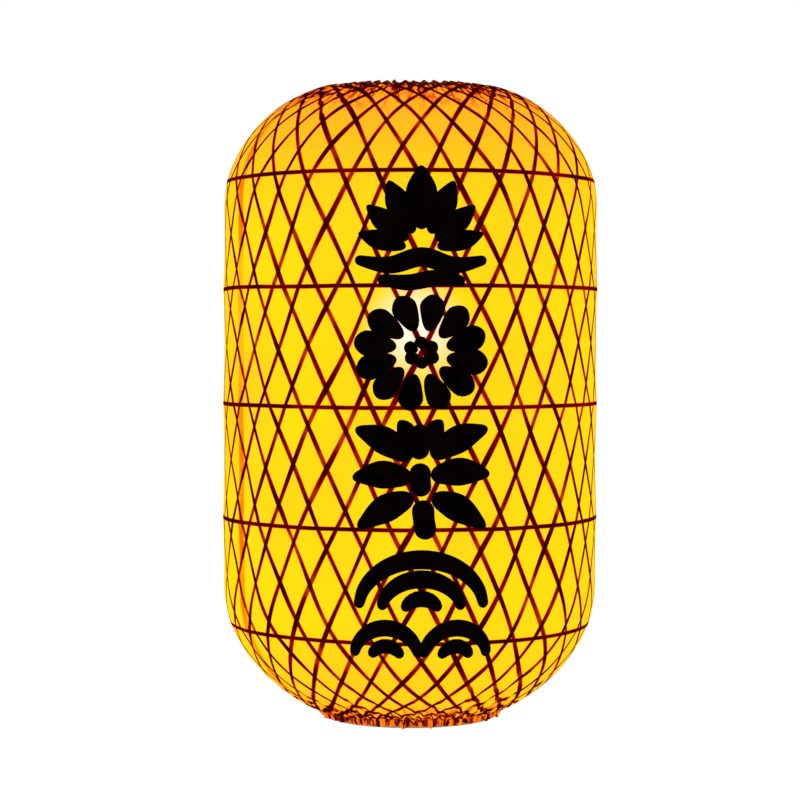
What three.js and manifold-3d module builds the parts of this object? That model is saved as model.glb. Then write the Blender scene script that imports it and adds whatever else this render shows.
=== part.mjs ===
// Drum-shaped hanging lantern: a woven cage of split bamboo covered with cloth that is gathered
// round both mouths, hung by a swivel from a cross bar, with a screw-in lamp inside.
// Millimetres, +Z up. Heights are measured from the middle of the body while the pieces are made,
// and the whole lantern is then hung below the origin, which is the inner crown of the hanging ring.
import * as THREE from 'three';
import { mergeVertices } from 'three/addons/utils/BufferGeometryUtils.js';
import Module from 'manifold-3d';

// ---- Body outline: a straight barrel between two elliptical shoulders
const BARREL_RADIUS = 175;
const TOP_SHOULDER = { side: 1, start: 180, across: 115, high: 113 };
const BOTTOM_SHOULDER = { side: -1, start: 165, across: 135, high: 128 };

// ---- Cloth
const CLOTH_THICK = 1;
const TOP_HEM_RADIUS = 78;
const BOTTOM_HEM_RADIUS = 83.4;
const HEM_DROP = 292.5;
const CLOTH_SEGMENTS = 40;
const SHOULDER_STEPS = 7;

// ---- Bamboo lattice
const STRIP_COUNT = 32;
const STRIP_WIDTH = 3;
const STRIP_THICK = 1.2;
const OUTER_LAYER_DEPTH = 3;
const INNER_LAYER_DEPTH = 4.6;
const TURNING_RADIUS = 76.7; // radius at which a strip's path would run level round the body
const FOLD_ANGLE = 5; // degrees of turn that a strip makes while it folds over at the top
const FOLD_STRIPS = 15; // whole strip spacings between a strip's outer leg and its inner leg
const LEG_END_RADIUS = 85;
const LATTICE_START = 0.45; // degrees, turn of the first crossing from the front
const LEG_SHOULDER_STEPS = 5;
const TURN_SUM_STEPS = 40;
const TURN_SEARCH_STEPS = 40;

// ---- Hoops and mouth rings
const HOOP_HEIGHTS = [205, 105.6, 0, -105.6, -205];
const HOOP_DEPTH = 6.8;
const HOOP_THICK = 1.8;
const HOOP_WIDE = 3;
const RING_INNER = 79;
const RING_OUTER = 82;
const TOP_RING_SPAN = [279, 289];
const BOTTOM_RING_SPAN = [-293.5, -283.5];
const RING_SEGMENTS = 40;

// ---- Cross bar and its rivets
const BAR_WIDE = 12;
const BAR_THICK = 2.5;
const BAR_TOP = 267;
const BAR_REACH = 78.4;
const TAB_TOP = 288;
const BAR_BEND = 3;
const RIVET_HEIGHT = 284;
const RIVET_RADIUS = 1.7;
const RIVET_HEAD_RADIUS = 3.5;
const RIVET_HEAD_HIGH = 1.6;
const RIVET_SEGMENTS = 16;
const OVERSHOOT = 5; // how far a cutting rod runs past the piece that it cuts

// ---- Hanging ring and swivel
const WIRE_RADIUS = 1.5;
const EYE_RADIUS = 5;
const HANGING_RING_RADIUS = 10;
const HANGING_RING_HEIGHT = 287.5;
const SWIVEL_SHANK_RADIUS = 2.4;
const SWIVEL_COLLAR_RADIUS = 4.2;
const SHANK_SEAT_OVERLAP = 0.5;
const NUT_FLOOR = 2;
const WASHER_RADIUS = 6.5;
const WASHER_THICK = 1;
const NUT_ACROSS_CORNERS = 11.5;
const NUT_HIGH = 6.8;
const GAP = 0.3; // clearance between pieces that touch
const RUNNING_GAP = 0.35; // clearance of a shank in its hole

// ---- Lamp holder and bulb, an E27 pair
const GLOBE_HEIGHT = 68;
const GLOBE_RADIUS = 30;
const BULB_TIP = 146;
const CAP_RADIUS = 13.2;
const CAP_SHOULDER_RADIUS = 11;
const CAP_LOW = 119;
const CAP_ABOVE = 4.8; // height of the contact above the cap's metal
const FOOT_RADIUS = 10.5;
const TIP_RADIUS = 5;
const HOUSING_LOW = 84;
const HOUSING_PROFILE = [[28, HOUSING_LOW], [27, 90], [22, 103], [16, 114]];
const HOUSING_NECK = 13.6;
const GLOBE_STEPS = 10;
const THREAD_DEPTH = 0.7;
const THREAD_PITCH = 3.63;
const HOLDER_RADIUS = 20;
const HOLDER_BORE = 15.5;
const HOLDER_MOUTH = 117;
const HOLDER_TOP = 160;
const HOLDER_ROOF = 150;
const HOLDER_EASE = 2;
const HOLDER_CAP_HIGH = 16;
const HOLDER_CAP_WALL = 2;
const HOLDER_CAP_HOLE = 4;
const HOLDER_CAP_BANDS = [0, 24, 48, 72]; // degrees up the dome
const INLET_BORE = 3.2;
const INLET_PROFILE = [[7, 0], [7, 3], [5.6, 5], [5, 11]]; // radius, height above its foot
const INLET_HIGH = 11;
const SHELL_CLEARANCE = 0.8;
const SHELL_THICK = 0.7;
const SHELL_SPAN = [121, 143];
const CONTACT_CLEARANCE = 0.4;
const COLLAR_SPAN = [150, 158];
const COLLAR_THICK = 3;
const YOKE_HALF_WIDE = 27.5;
const YOKE_BEND = 12;
const LUG_SIZE = 8;
const LUG_ROOT = 2; // how far a lug reaches into the collar's ring
const YOKE_STEPS = 32;
const YOKE_FOOT_DROP = 2;
const LAMP_SEGMENTS = 20;

const wasm = await Module();
wasm.setup();

const wood = (color) => new THREE.MeshStandardMaterial({ color, roughness: 0.65, metalness: 0 });
const metal = (color, roughness) => new THREE.MeshStandardMaterial({ color, roughness, metalness: 1 });
const MATERIALS = {
  cloth: new THREE.MeshStandardMaterial({ color: 0xffc414, roughness: 0.9, metalness: 0 }),
  bamboo: wood(0x7a3410),
  ringBamboo: wood(0x8a5a2a),
  steel: metal(0x9a9a98, 0.35),
  brass: metal(0xb58a3c, 0.3),
  plastic: new THREE.MeshStandardMaterial({ color: 0x1c1a19, roughness: 0.5, metalness: 0 }),
  porcelain: new THREE.MeshStandardMaterial({ color: 0xf2efe6, roughness: 0.35, metalness: 0 }),
  opal: new THREE.MeshStandardMaterial({ color: 0xfff6df, roughness: 0.4, metalness: 0 }),
};

const radians = THREE.MathUtils.degToRad;

// ---- Solids

function piece(name, geometry, material) {
  const mesh = new THREE.Mesh(geometry, material);
  mesh.name = name;
  return mesh;
}

function signedVolume(geometry) {
  const corners = geometry.toNonIndexed().getAttribute('position');
  const [a, b, c] = [new THREE.Vector3(), new THREE.Vector3(), new THREE.Vector3()];
  let total = 0;
  for (let i = 0; i < corners.count; i += 3) {
    a.fromBufferAttribute(corners, i);
    b.fromBufferAttribute(corners, i + 1);
    c.fromBufferAttribute(corners, i + 2);
    total += a.dot(b.cross(c)) / 6;
  }
  return total;
}

// Joins equal vertices and turns the faces outwards.
function closed(source) {
  const bare = new THREE.BufferGeometry().setAttribute('position', source.getAttribute('position'));
  bare.setIndex(source.getIndex());
  const geometry = mergeVertices(bare, 1e-3);
  if (signedVolume(geometry) < 0) {
    const index = geometry.getIndex().array;
    for (let i = 0; i < index.length; i += 3) {
      [index[i], index[i + 1]] = [index[i + 1], index[i]];
    }
  }
  return geometry;
}

// Turns a profile of [radius, height] pairs about the Z axis.
function turned(profile, segments) {
  const points = profile.map(([radius, height]) => new THREE.Vector2(radius, height));
  return closed(new THREE.LatheGeometry(points, segments).rotateX(Math.PI / 2));
}

function turnedBand(inner, outer, low, high, segments) {
  return turned([[inner, low], [outer, low], [outer, high], [inner, high], [inner, low]], segments);
}

// A cylinder along Z between two heights; six segments make a hexagon.
function rod(radius, low, high, segments) {
  const cylinder = new THREE.CylinderGeometry(radius, radius, high - low, segments);
  return closed(cylinder.rotateX(Math.PI / 2).translate(0, 0, (low + high) / 2));
}

// A wire loop that lies in the plane of Z and the named axis.
function wireLoop(radius, height, plane) {
  const loop = new THREE.TorusGeometry(radius, WIRE_RADIUS, 8, 18);
  if (plane === 'X') loop.rotateX(Math.PI / 2);
  else loop.rotateY(Math.PI / 2);
  return closed(loop.translate(0, 0, height));
}

function toManifold(geometry) {
  const vertProperties = new Float32Array(geometry.getAttribute('position').array);
  const triVerts = new Uint32Array(geometry.getIndex().array);
  return new wasm.Manifold(new wasm.Mesh({ numProp: 3, vertProperties, triVerts }));
}

function fromManifold(solid) {
  const mesh = solid.getMesh();
  const geometry = new THREE.BufferGeometry();
  geometry.setAttribute('position', new THREE.BufferAttribute(mesh.vertProperties, 3));
  return geometry.setIndex(new THREE.BufferAttribute(mesh.triVerts, 1));
}

function joined(...geometries) {
  return fromManifold(geometries.map(toManifold).reduce((sum, next) => sum.add(next)));
}

function cut(geometry, ...tools) {
  const whole = toManifold(geometry);
  return fromManifold(tools.map(toManifold).reduce((rest, tool) => rest.subtract(tool), whole));
}

// ---- Body outline and the strips' path over it

// A point of the outline: radius, height, its outward normal, and how far a strip has turned by there.
function barrelPoint(height) {
  const slope = TURNING_RADIUS / Math.sqrt(BARREL_RADIUS ** 2 - TURNING_RADIUS ** 2);
  return { radius: BARREL_RADIUS, height, out: 1, up: 0, turn: (-height / BARREL_RADIUS) * slope };
}

function shoulderOutline(shoulder, angle) {
  const radius = BARREL_RADIUS - shoulder.across * (1 - Math.cos(angle));
  const height = shoulder.side * (shoulder.start + shoulder.high * Math.sin(angle));
  const speed = Math.hypot(shoulder.across * Math.sin(angle), shoulder.high * Math.cos(angle));
  return { radius, height, speed };
}

// The turn along a shoulder keeps radius x sine of the angle to the meridian equal to TURNING_RADIUS.
function shoulderTurn(shoulder, angle) {
  const rate = (at) => {
    const { radius, speed } = shoulderOutline(shoulder, at);
    return (speed * TURNING_RADIUS) / (radius * Math.sqrt(radius ** 2 - TURNING_RADIUS ** 2));
  };
  const step = angle / TURN_SUM_STEPS;
  let sum = 0;
  for (let i = 0; i < TURN_SUM_STEPS; i++) sum += rate(step * (i + 0.5)) * step;
  return barrelPoint(shoulder.side * shoulder.start).turn - shoulder.side * sum;
}

function shoulderPoint(shoulder, angle) {
  const { radius, height } = shoulderOutline(shoulder, angle);
  const out = shoulder.high * Math.cos(angle);
  const up = shoulder.across * Math.sin(angle);
  const length = Math.hypot(out, up);
  return { radius, height, out: out / length, up: (shoulder.side * up) / length };
}

function shoulderAngleAtRadius(shoulder, radius) {
  return Math.acos(1 - (BARREL_RADIUS - radius) / shoulder.across);
}

function shoulderAngleAtHeight(shoulder, height) {
  return Math.asin((Math.abs(height) - shoulder.start) / shoulder.high);
}

function shoulderAngleAtTurn(shoulder, turn) {
  let low = 0;
  let high = shoulderAngleAtRadius(shoulder, TURNING_RADIUS + 1);
  for (let i = 0; i < TURN_SEARCH_STEPS; i++) {
    const middle = (low + high) / 2;
    if (Math.abs(shoulderTurn(shoulder, middle)) < turn) low = middle;
    else high = middle;
  }
  return low;
}

function outlineAtHeight(height) {
  const shoulder = height > 0 ? TOP_SHOULDER : BOTTOM_SHOULDER;
  if (Math.abs(height) <= shoulder.start) return barrelPoint(height);
  return shoulderPoint(shoulder, shoulderAngleAtHeight(shoulder, height));
}

function inset(point, depth) {
  return [point.radius - depth * point.out, point.height - depth * point.up];
}

// ---- Cloth skin

function clothSkin() {
  const shoulderRun = (shoulder, hemRadius) => {
    const last = shoulderAngleAtRadius(shoulder, hemRadius);
    const angles = Array.from({ length: SHOULDER_STEPS + 1 }, (_, i) => (last * i) / SHOULDER_STEPS);
    return angles.map((angle) => shoulderPoint(shoulder, angle));
  };
  const bottom = shoulderRun(BOTTOM_SHOULDER, BOTTOM_HEM_RADIUS);
  const outline = [...bottom.reverse(), ...shoulderRun(TOP_SHOULDER, TOP_HEM_RADIUS)];
  const outside = outline.map((point) => inset(point, 0));
  const inside = outline.map((point) => inset(point, CLOTH_THICK)).reverse();
  inside[inside.length - 1][0] = BOTTOM_HEM_RADIUS - CLOTH_THICK;
  const collar = [[BOTTOM_HEM_RADIUS - CLOTH_THICK, -HEM_DROP], [BOTTOM_HEM_RADIUS, -HEM_DROP]];
  return turned([...outside, ...inside, ...collar, outside[0]], CLOTH_SEGMENTS);
}

// ---- Bamboo strips

// Angles are measured from the front, -Y, towards +X.
function around(radius, angle, height) {
  return new THREE.Vector3(radius * Math.sin(angle), -radius * Math.cos(angle), height);
}

// The places along a strip's leg, from the bottom mouth to the top one, with level stations at the hoops.
function legPoints() {
  const topTurn = radians((FOLD_STRIPS - 0.5) * (360 / STRIP_COUNT) - FOLD_ANGLE) / 2;
  const shoulderRun = (shoulder, last) => {
    const first = shoulderAngleAtHeight(shoulder, HOOP_HEIGHTS[0]);
    return Array.from({ length: LEG_SHOULDER_STEPS + 1 }, (_, i) => {
      const angle = first + ((last - first) * i) / LEG_SHOULDER_STEPS;
      return { ...shoulderPoint(shoulder, angle), turn: shoulderTurn(shoulder, angle) };
    });
  };
  const level = HOOP_HEIGHTS[1];
  const barrel = [-level, 0, level].map(barrelPoint);
  const bottomEnd = shoulderAngleAtRadius(BOTTOM_SHOULDER, LEG_END_RADIUS);
  const topEnd = shoulderAngleAtTurn(TOP_SHOULDER, topTurn);
  const bottom = shoulderRun(BOTTOM_SHOULDER, bottomEnd).reverse();
  return [...bottom, ...barrel, ...shoulderRun(TOP_SHOULDER, topEnd)];
}

// One strip goes up the outside layer, folds over at the top and comes down the inside layer.
function bambooStrip(index) {
  const spacing = 360 / STRIP_COUNT;
  const start = radians(LATTICE_START + spacing * index);
  const back = radians(LATTICE_START + spacing * (index - FOLD_STRIPS + 0.5));
  const points = legPoints();
  const place = (point, angle, depth, facing) => {
    const [radius, height] = inset(point, depth);
    const normal = around(point.out, angle, point.up).multiplyScalar(facing);
    return { centre: around(radius, angle, height), normal };
  };
  const up = points.map((point) => place(point, start + point.turn, OUTER_LAYER_DEPTH, 1));
  const inner = points.map((point) => place(point, back - point.turn, INNER_LAYER_DEPTH, -1));
  const top = points[points.length - 1];
  const foldAngle = start + top.turn - radians(FOLD_ANGLE / 2);
  const foldDepth = (OUTER_LAYER_DEPTH + INNER_LAYER_DEPTH) / 2;
  const [foldRadius, foldHeight] = inset(top, foldDepth);
  const reach = (INNER_LAYER_DEPTH - OUTER_LAYER_DEPTH) / 2;
  const fold = {
    centre: around(foldRadius - reach, foldAngle, foldHeight),
    normal: around(-1, foldAngle, 0),
  };
  return ribbon([...up, fold, ...inner.reverse()]);
}

// A flat band through the stations, each with a centre and a face normal.
function ribbon(stations) {
  const vertices = [];
  stations.forEach(({ centre, normal }, i) => {
    const before = stations[Math.max(i - 1, 0)].centre;
    const after = stations[Math.min(i + 1, stations.length - 1)].centre;
    const along = after.clone().sub(before).normalize();
    const across = normal.clone().cross(along).normalize();
    const thick = along.clone().cross(across).normalize();
    for (const [side, face] of [[-1, -1], [1, -1], [1, 1], [-1, 1]]) {
      const corner = centre.clone().addScaledVector(across, (side * STRIP_WIDTH) / 2);
      corner.addScaledVector(thick, (face * STRIP_THICK) / 2);
      vertices.push(corner.x, corner.y, corner.z);
    }
  });
  const index = [0, 1, 2, 0, 2, 3];
  for (let i = 0; i < stations.length - 1; i++) {
    for (let k = 0; k < 4; k++) {
      const [a, b] = [4 * i + k, 4 * i + ((k + 1) % 4)];
      index.push(a, a + 4, b, b, a + 4, b + 4);
    }
  }
  const last = 4 * (stations.length - 1);
  index.push(last, last + 2, last + 1, last, last + 3, last + 2);
  const geometry = new THREE.BufferGeometry();
  geometry.setAttribute('position', new THREE.Float32BufferAttribute(vertices, 3));
  return closed(geometry.setIndex(index));
}

// ---- Hoops and mouth rings

function hoop(height) {
  const [outer] = inset(outlineAtHeight(height), HOOP_DEPTH);
  return turnedBand(outer - HOOP_THICK, outer, -HOOP_WIDE / 2, HOOP_WIDE / 2, RING_SEGMENTS);
}

function mouthRing([low, high]) {
  return turnedBand(RING_INNER, RING_OUTER, low, high, RING_SEGMENTS);
}

function rivetHole() {
  const length = RING_OUTER + OVERSHOOT;
  const hole = rod(RIVET_RADIUS + GAP, -length, length, RIVET_SEGMENTS);
  return hole.rotateY(Math.PI / 2).translate(0, 0, RIVET_HEIGHT);
}

function topRing() {
  return cut(mouthRing(TOP_RING_SPAN), rivetHole());
}

// ---- Cross bar

// The side outline is a wide U whose upturned ends lie against the inside of the top ring.
function crossBar() {
  const outer = BAR_REACH;
  const inner = outer - BAR_THICK;
  const low = BAR_TOP - BAR_THICK;
  const outline = new THREE.Shape();
  outline.moveTo(-outer, TAB_TOP);
  outline.lineTo(-outer, low + BAR_BEND);
  outline.absarc(-outer + BAR_BEND, low + BAR_BEND, BAR_BEND, Math.PI, 1.5 * Math.PI, false);
  outline.absarc(outer - BAR_BEND, low + BAR_BEND, BAR_BEND, 1.5 * Math.PI, 2 * Math.PI, false);
  outline.lineTo(outer, TAB_TOP);
  outline.lineTo(inner, TAB_TOP);
  outline.lineTo(inner, BAR_TOP);
  outline.lineTo(-inner, BAR_TOP);
  outline.lineTo(-inner, TAB_TOP);
  const settings = { depth: BAR_WIDE, bevelEnabled: false, curveSegments: 4 };
  const strap = new THREE.ExtrudeGeometry(outline, settings);
  strap.rotateX(Math.PI / 2).translate(0, BAR_WIDE / 2, 0);
  const holeRadius = SWIVEL_SHANK_RADIUS + RUNNING_GAP;
  const shankHole = rod(holeRadius, low - OVERSHOOT, BAR_TOP + OVERSHOOT, LAMP_SEGMENTS);
  return cut(closed(strap), shankHole, rivetHole());
}

// A domed rivet that points along +X from the inside of the bar's end.
function barRivet() {
  const head = BAR_REACH - BAR_THICK - GAP;
  const profile = [
    [0, head - RIVET_HEAD_HIGH],
    [RIVET_HEAD_RADIUS * 0.7, head - RIVET_HEAD_HIGH * 0.75],
    [RIVET_HEAD_RADIUS, head - RIVET_HEAD_HIGH * 0.2],
    [RIVET_HEAD_RADIUS, head],
    [RIVET_RADIUS, head],
    [RIVET_RADIUS, RING_OUTER],
    [0, RING_OUTER],
  ];
  return turned(profile, RIVET_SEGMENTS).rotateY(Math.PI / 2).translate(0, 0, RIVET_HEIGHT);
}

// ---- Hanging ring and swivel

// A link hangs in another with the small gap GAP between the two wires.
const LINK_DROP = EYE_RADIUS - 2 * WIRE_RADIUS - GAP;
const SWING_HEIGHT = HANGING_RING_HEIGHT - HANGING_RING_RADIUS;
const EYE_HEIGHT = SWING_HEIGHT - LINK_DROP;
const HANG_POINT = HANGING_RING_HEIGHT + HANGING_RING_RADIUS - WIRE_RADIUS;
const UPPER_WASHER_LOW = BAR_TOP + GAP;
const LOWER_WASHER_LOW = BAR_TOP - BAR_THICK - GAP - WASHER_THICK;
const NUT_TOP = LOWER_WASHER_LOW - GAP;
const NUT_LOW = NUT_TOP - NUT_HIGH;
const LOWER_EYE_HEIGHT = NUT_LOW - EYE_RADIUS;
const YOKE_HEIGHT = LOWER_EYE_HEIGHT - LINK_DROP;

function swivelEye() {
  const seat = UPPER_WASHER_LOW + WASHER_THICK + GAP;
  const collar = rod(SWIVEL_COLLAR_RADIUS, seat, EYE_HEIGHT - EYE_RADIUS, LAMP_SEGMENTS);
  const tip = NUT_LOW + NUT_FLOOR + SHANK_SEAT_OVERLAP;
  const shank = rod(SWIVEL_SHANK_RADIUS, tip, seat + SHANK_SEAT_OVERLAP, RIVET_SEGMENTS);
  return joined(wireLoop(EYE_RADIUS, EYE_HEIGHT, 'X'), collar, shank);
}

function washer(low) {
  const hole = SWIVEL_SHANK_RADIUS + RUNNING_GAP;
  return turnedBand(hole, WASHER_RADIUS, low, low + WASHER_THICK, LAMP_SEGMENTS);
}

function lowerEyeNut() {
  const hex = rod(NUT_ACROSS_CORNERS / 2, NUT_LOW, NUT_TOP, 6);
  const bore = rod(SWIVEL_SHANK_RADIUS + GAP, NUT_LOW + NUT_FLOOR, NUT_TOP + OVERSHOOT, RIVET_SEGMENTS);
  return joined(cut(hex, bore), wireLoop(EYE_RADIUS, LOWER_EYE_HEIGHT, 'Y'));
}

// ---- Lamp holder

// An upside-down U of wire: its level top hangs in the lower eye, its legs carry the holder's collar.
function lampYoke() {
  const path = new THREE.CurvePath();
  const foot = COLLAR_SPAN[0] - YOKE_FOOT_DROP;
  const bendHeight = YOKE_HEIGHT - YOKE_BEND;
  const straight = (from, to) => {
    path.add(new THREE.LineCurve3(new THREE.Vector3(...from), new THREE.Vector3(...to)));
  };
  const bend = (side) => {
    const corner = new THREE.Vector3(side * YOKE_HALF_WIDE, 0, YOKE_HEIGHT);
    const leg = new THREE.Vector3(side * YOKE_HALF_WIDE, 0, bendHeight);
    const level = new THREE.Vector3(side * (YOKE_HALF_WIDE - YOKE_BEND), 0, YOKE_HEIGHT);
    const ends = side < 0 ? [leg, level] : [level, leg];
    path.add(new THREE.QuadraticBezierCurve3(ends[0], corner, ends[1]));
  };
  straight([-YOKE_HALF_WIDE, 0, foot], [-YOKE_HALF_WIDE, 0, bendHeight]);
  bend(-1);
  const levelHalf = YOKE_HALF_WIDE - YOKE_BEND;
  straight([-levelHalf, 0, YOKE_HEIGHT], [levelHalf, 0, YOKE_HEIGHT]);
  bend(1);
  straight([YOKE_HALF_WIDE, 0, bendHeight], [YOKE_HALF_WIDE, 0, foot]);
  const section = new THREE.Shape().absarc(0, 0, WIRE_RADIUS, 0, 2 * Math.PI, false);
  const settings = { steps: YOKE_STEPS, curveSegments: 3, extrudePath: path };
  return closed(new THREE.ExtrudeGeometry(section, settings));
}

function holderCollar() {
  const [low, high] = COLLAR_SPAN;
  const inner = HOLDER_RADIUS + GAP;
  const ring = turnedBand(inner, inner + COLLAR_THICK, low, high, LAMP_SEGMENTS);
  const lugs = [-1, 1].map((side) => {
    const lug = new THREE.BoxGeometry(LUG_SIZE + LUG_ROOT, LUG_SIZE, high - low);
    return closed(lug.translate(side * (YOKE_HALF_WIDE - LUG_ROOT / 2), 0, (low + high) / 2));
  });
  const cutter = (radius, segments) => rod(radius, low - OVERSHOOT, high + OVERSHOOT, segments);
  const hole = (side) => cutter(WIRE_RADIUS + GAP, 12).translate(side * YOKE_HALF_WIDE, 0, 0);
  const bore = cutter(inner, LAMP_SEGMENTS);
  return cut(joined(ring, ...lugs), bore, hole(-1), hole(1));
}

// An open cup that faces down, with the lamp's contact under its roof.
function holderBody() {
  const profile = [
    [0, HOLDER_TOP],
    [HOLDER_RADIUS, HOLDER_TOP],
    [HOLDER_RADIUS, HOLDER_MOUTH + HOLDER_EASE],
    [HOLDER_RADIUS - HOLDER_EASE, HOLDER_MOUTH],
    [HOLDER_BORE, HOLDER_MOUTH],
    [HOLDER_BORE, HOLDER_ROOF],
    [0, HOLDER_ROOF],
  ];
  return turned(profile, LAMP_SEGMENTS);
}

// A thin dome with the cord's hole in its crown.
function holderCap() {
  const low = HOLDER_TOP + GAP;
  const dome = (radius, height) => {
    const points = HOLDER_CAP_BANDS.map((degrees) => {
      const angle = radians(degrees);
      return [radius * Math.cos(angle), low + height * Math.sin(angle)];
    });
    return [...points, [HOLDER_CAP_HOLE, low + height]];
  };
  const outside = dome(HOLDER_RADIUS, HOLDER_CAP_HIGH);
  const inside = dome(HOLDER_RADIUS - HOLDER_CAP_WALL, HOLDER_CAP_HIGH - HOLDER_CAP_WALL).reverse();
  return turned([...outside, ...inside, outside[0]], LAMP_SEGMENTS);
}

function cordInlet() {
  const low = HOLDER_TOP + GAP + HOLDER_CAP_HIGH + GAP;
  const outside = INLET_PROFILE.map(([radius, height]) => [radius, low + height]);
  const bore = [[INLET_BORE, low + INLET_HIGH], [INLET_BORE, low]];
  return turned([bore[1], ...outside, ...bore], RIVET_SEGMENTS);
}

function screwShell() {
  const inner = CAP_RADIUS + SHELL_CLEARANCE;
  return turnedBand(inner, inner + SHELL_THICK, SHELL_SPAN[0], SHELL_SPAN[1], LAMP_SEGMENTS);
}

function holderContact() {
  const low = BULB_TIP + CONTACT_CLEARANCE;
  const high = HOLDER_ROOF - GAP;
  const profile = [[0, low], [TIP_RADIUS - 1, low], [TIP_RADIUS, low + 0.8], [TIP_RADIUS, high], [0, high]];
  return turned(profile, RIVET_SEGMENTS);
}

// ---- Bulb

const CAP_TOP = BULB_TIP - CAP_ABOVE;

function bulbFoot() {
  const low = CAP_TOP + GAP;
  const profile = [
    [0, BULB_TIP],
    [TIP_RADIUS - 1, BULB_TIP],
    [TIP_RADIUS, BULB_TIP - 1],
    [FOOT_RADIUS, low + 0.8],
    [FOOT_RADIUS, low],
    [0, low],
  ];
  return turned(profile, LAMP_SEGMENTS);
}

function bulbCap() {
  const profile = [[0, CAP_LOW], [CAP_RADIUS, CAP_LOW]];
  for (let height = CAP_LOW + 2; height < CAP_TOP - THREAD_PITCH; height += THREAD_PITCH) {
    profile.push([CAP_RADIUS - THREAD_DEPTH, height], [CAP_RADIUS, height + THREAD_PITCH / 2]);
  }
  profile.push([CAP_RADIUS - THREAD_DEPTH, CAP_TOP - 1.5]);
  profile.push([CAP_SHOULDER_RADIUS, CAP_TOP], [0, CAP_TOP]);
  return turned(profile, LAMP_SEGMENTS);
}

function bulbHousing() {
  const high = CAP_LOW - GAP;
  return turned([[0, HOUSING_LOW], ...HOUSING_PROFILE, [HOUSING_NECK, high], [0, high]], LAMP_SEGMENTS);
}

// A ball cut off level where it enters the housing.
function bulbGlobe() {
  const rimHeight = HOUSING_LOW - GAP;
  const rimRadius = Math.sqrt(GLOBE_RADIUS ** 2 - (rimHeight - GLOBE_HEIGHT) ** 2);
  const last = Math.atan2(rimHeight - GLOBE_HEIGHT, rimRadius);
  const profile = [];
  for (let i = 0; i <= GLOBE_STEPS; i++) {
    const angle = -Math.PI / 2 + ((last + Math.PI / 2) * i) / GLOBE_STEPS;
    const radius = i ? GLOBE_RADIUS * Math.cos(angle) : 0;
    profile.push([radius, GLOBE_HEIGHT + GLOBE_RADIUS * Math.sin(angle)]);
  }
  return turned([...profile, [0, rimHeight]], LAMP_SEGMENTS);
}

// ---- Assembly

function cage() {
  const group = new THREE.Group();
  for (let i = 0; i < STRIP_COUNT; i++) {
    const name = `strip_${String(i + 1).padStart(2, '0')}`;
    group.add(piece(name, bambooStrip(i), MATERIALS.bamboo));
  }
  HOOP_HEIGHTS.forEach((height, i) => {
    const mesh = piece(`hoop_${i + 1}`, hoop(height), MATERIALS.bamboo);
    mesh.position.z = height;
    group.add(mesh);
  });
  group.add(piece('top_ring', topRing(), MATERIALS.ringBamboo));
  group.add(piece('bottom_ring', mouthRing(BOTTOM_RING_SPAN), MATERIALS.ringBamboo));
  group.add(piece('cross_bar', crossBar(), MATERIALS.steel));
  group.add(piece('bar_rivet_right', barRivet(), MATERIALS.steel));
  const leftRivet = piece('bar_rivet_left', barRivet(), MATERIALS.steel);
  leftRivet.rotation.z = Math.PI;
  group.add(leftRivet);
  return group;
}

function swivel() {
  const group = new THREE.Group();
  group.add(piece('swivel_eye', swivelEye(), MATERIALS.steel));
  group.add(piece('upper_washer', washer(UPPER_WASHER_LOW), MATERIALS.brass));
  group.add(piece('lower_washer', washer(LOWER_WASHER_LOW), MATERIALS.brass));
  group.add(piece('lower_eye_nut', lowerEyeNut(), MATERIALS.steel));
  return group;
}

function lamp() {
  const group = new THREE.Group();
  group.add(piece('lamp_yoke', lampYoke(), MATERIALS.steel));
  group.add(piece('holder_collar', holderCollar(), MATERIALS.steel));
  group.add(piece('holder_body', holderBody(), MATERIALS.plastic));
  group.add(piece('holder_cap', holderCap(), MATERIALS.plastic));
  group.add(piece('cord_inlet', cordInlet(), MATERIALS.plastic));
  group.add(piece('screw_shell', screwShell(), MATERIALS.brass));
  group.add(piece('holder_contact', holderContact(), MATERIALS.brass));
  group.add(piece('bulb_foot', bulbFoot(), MATERIALS.plastic));
  group.add(piece('bulb_cap', bulbCap(), MATERIALS.steel));
  group.add(piece('bulb_housing', bulbHousing(), MATERIALS.porcelain));
  group.add(piece('bulb_globe', bulbGlobe(), MATERIALS.opal));
  return group;
}

const lantern = new THREE.Group();
const hangingRing = wireLoop(HANGING_RING_RADIUS, HANGING_RING_HEIGHT, 'Y');
lantern.add(piece('hanging_ring', hangingRing, MATERIALS.steel));
lantern.add(swivel());
lantern.add(cage());
lantern.add(piece('cloth_skin', clothSkin(), MATERIALS.cloth));
lantern.add(lamp());
lantern.position.z = -HANG_POINT;

const assembly = new THREE.Group();
assembly.add(lantern);
export default assembly;
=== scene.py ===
import math
import random
from bisect import bisect_right

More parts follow.
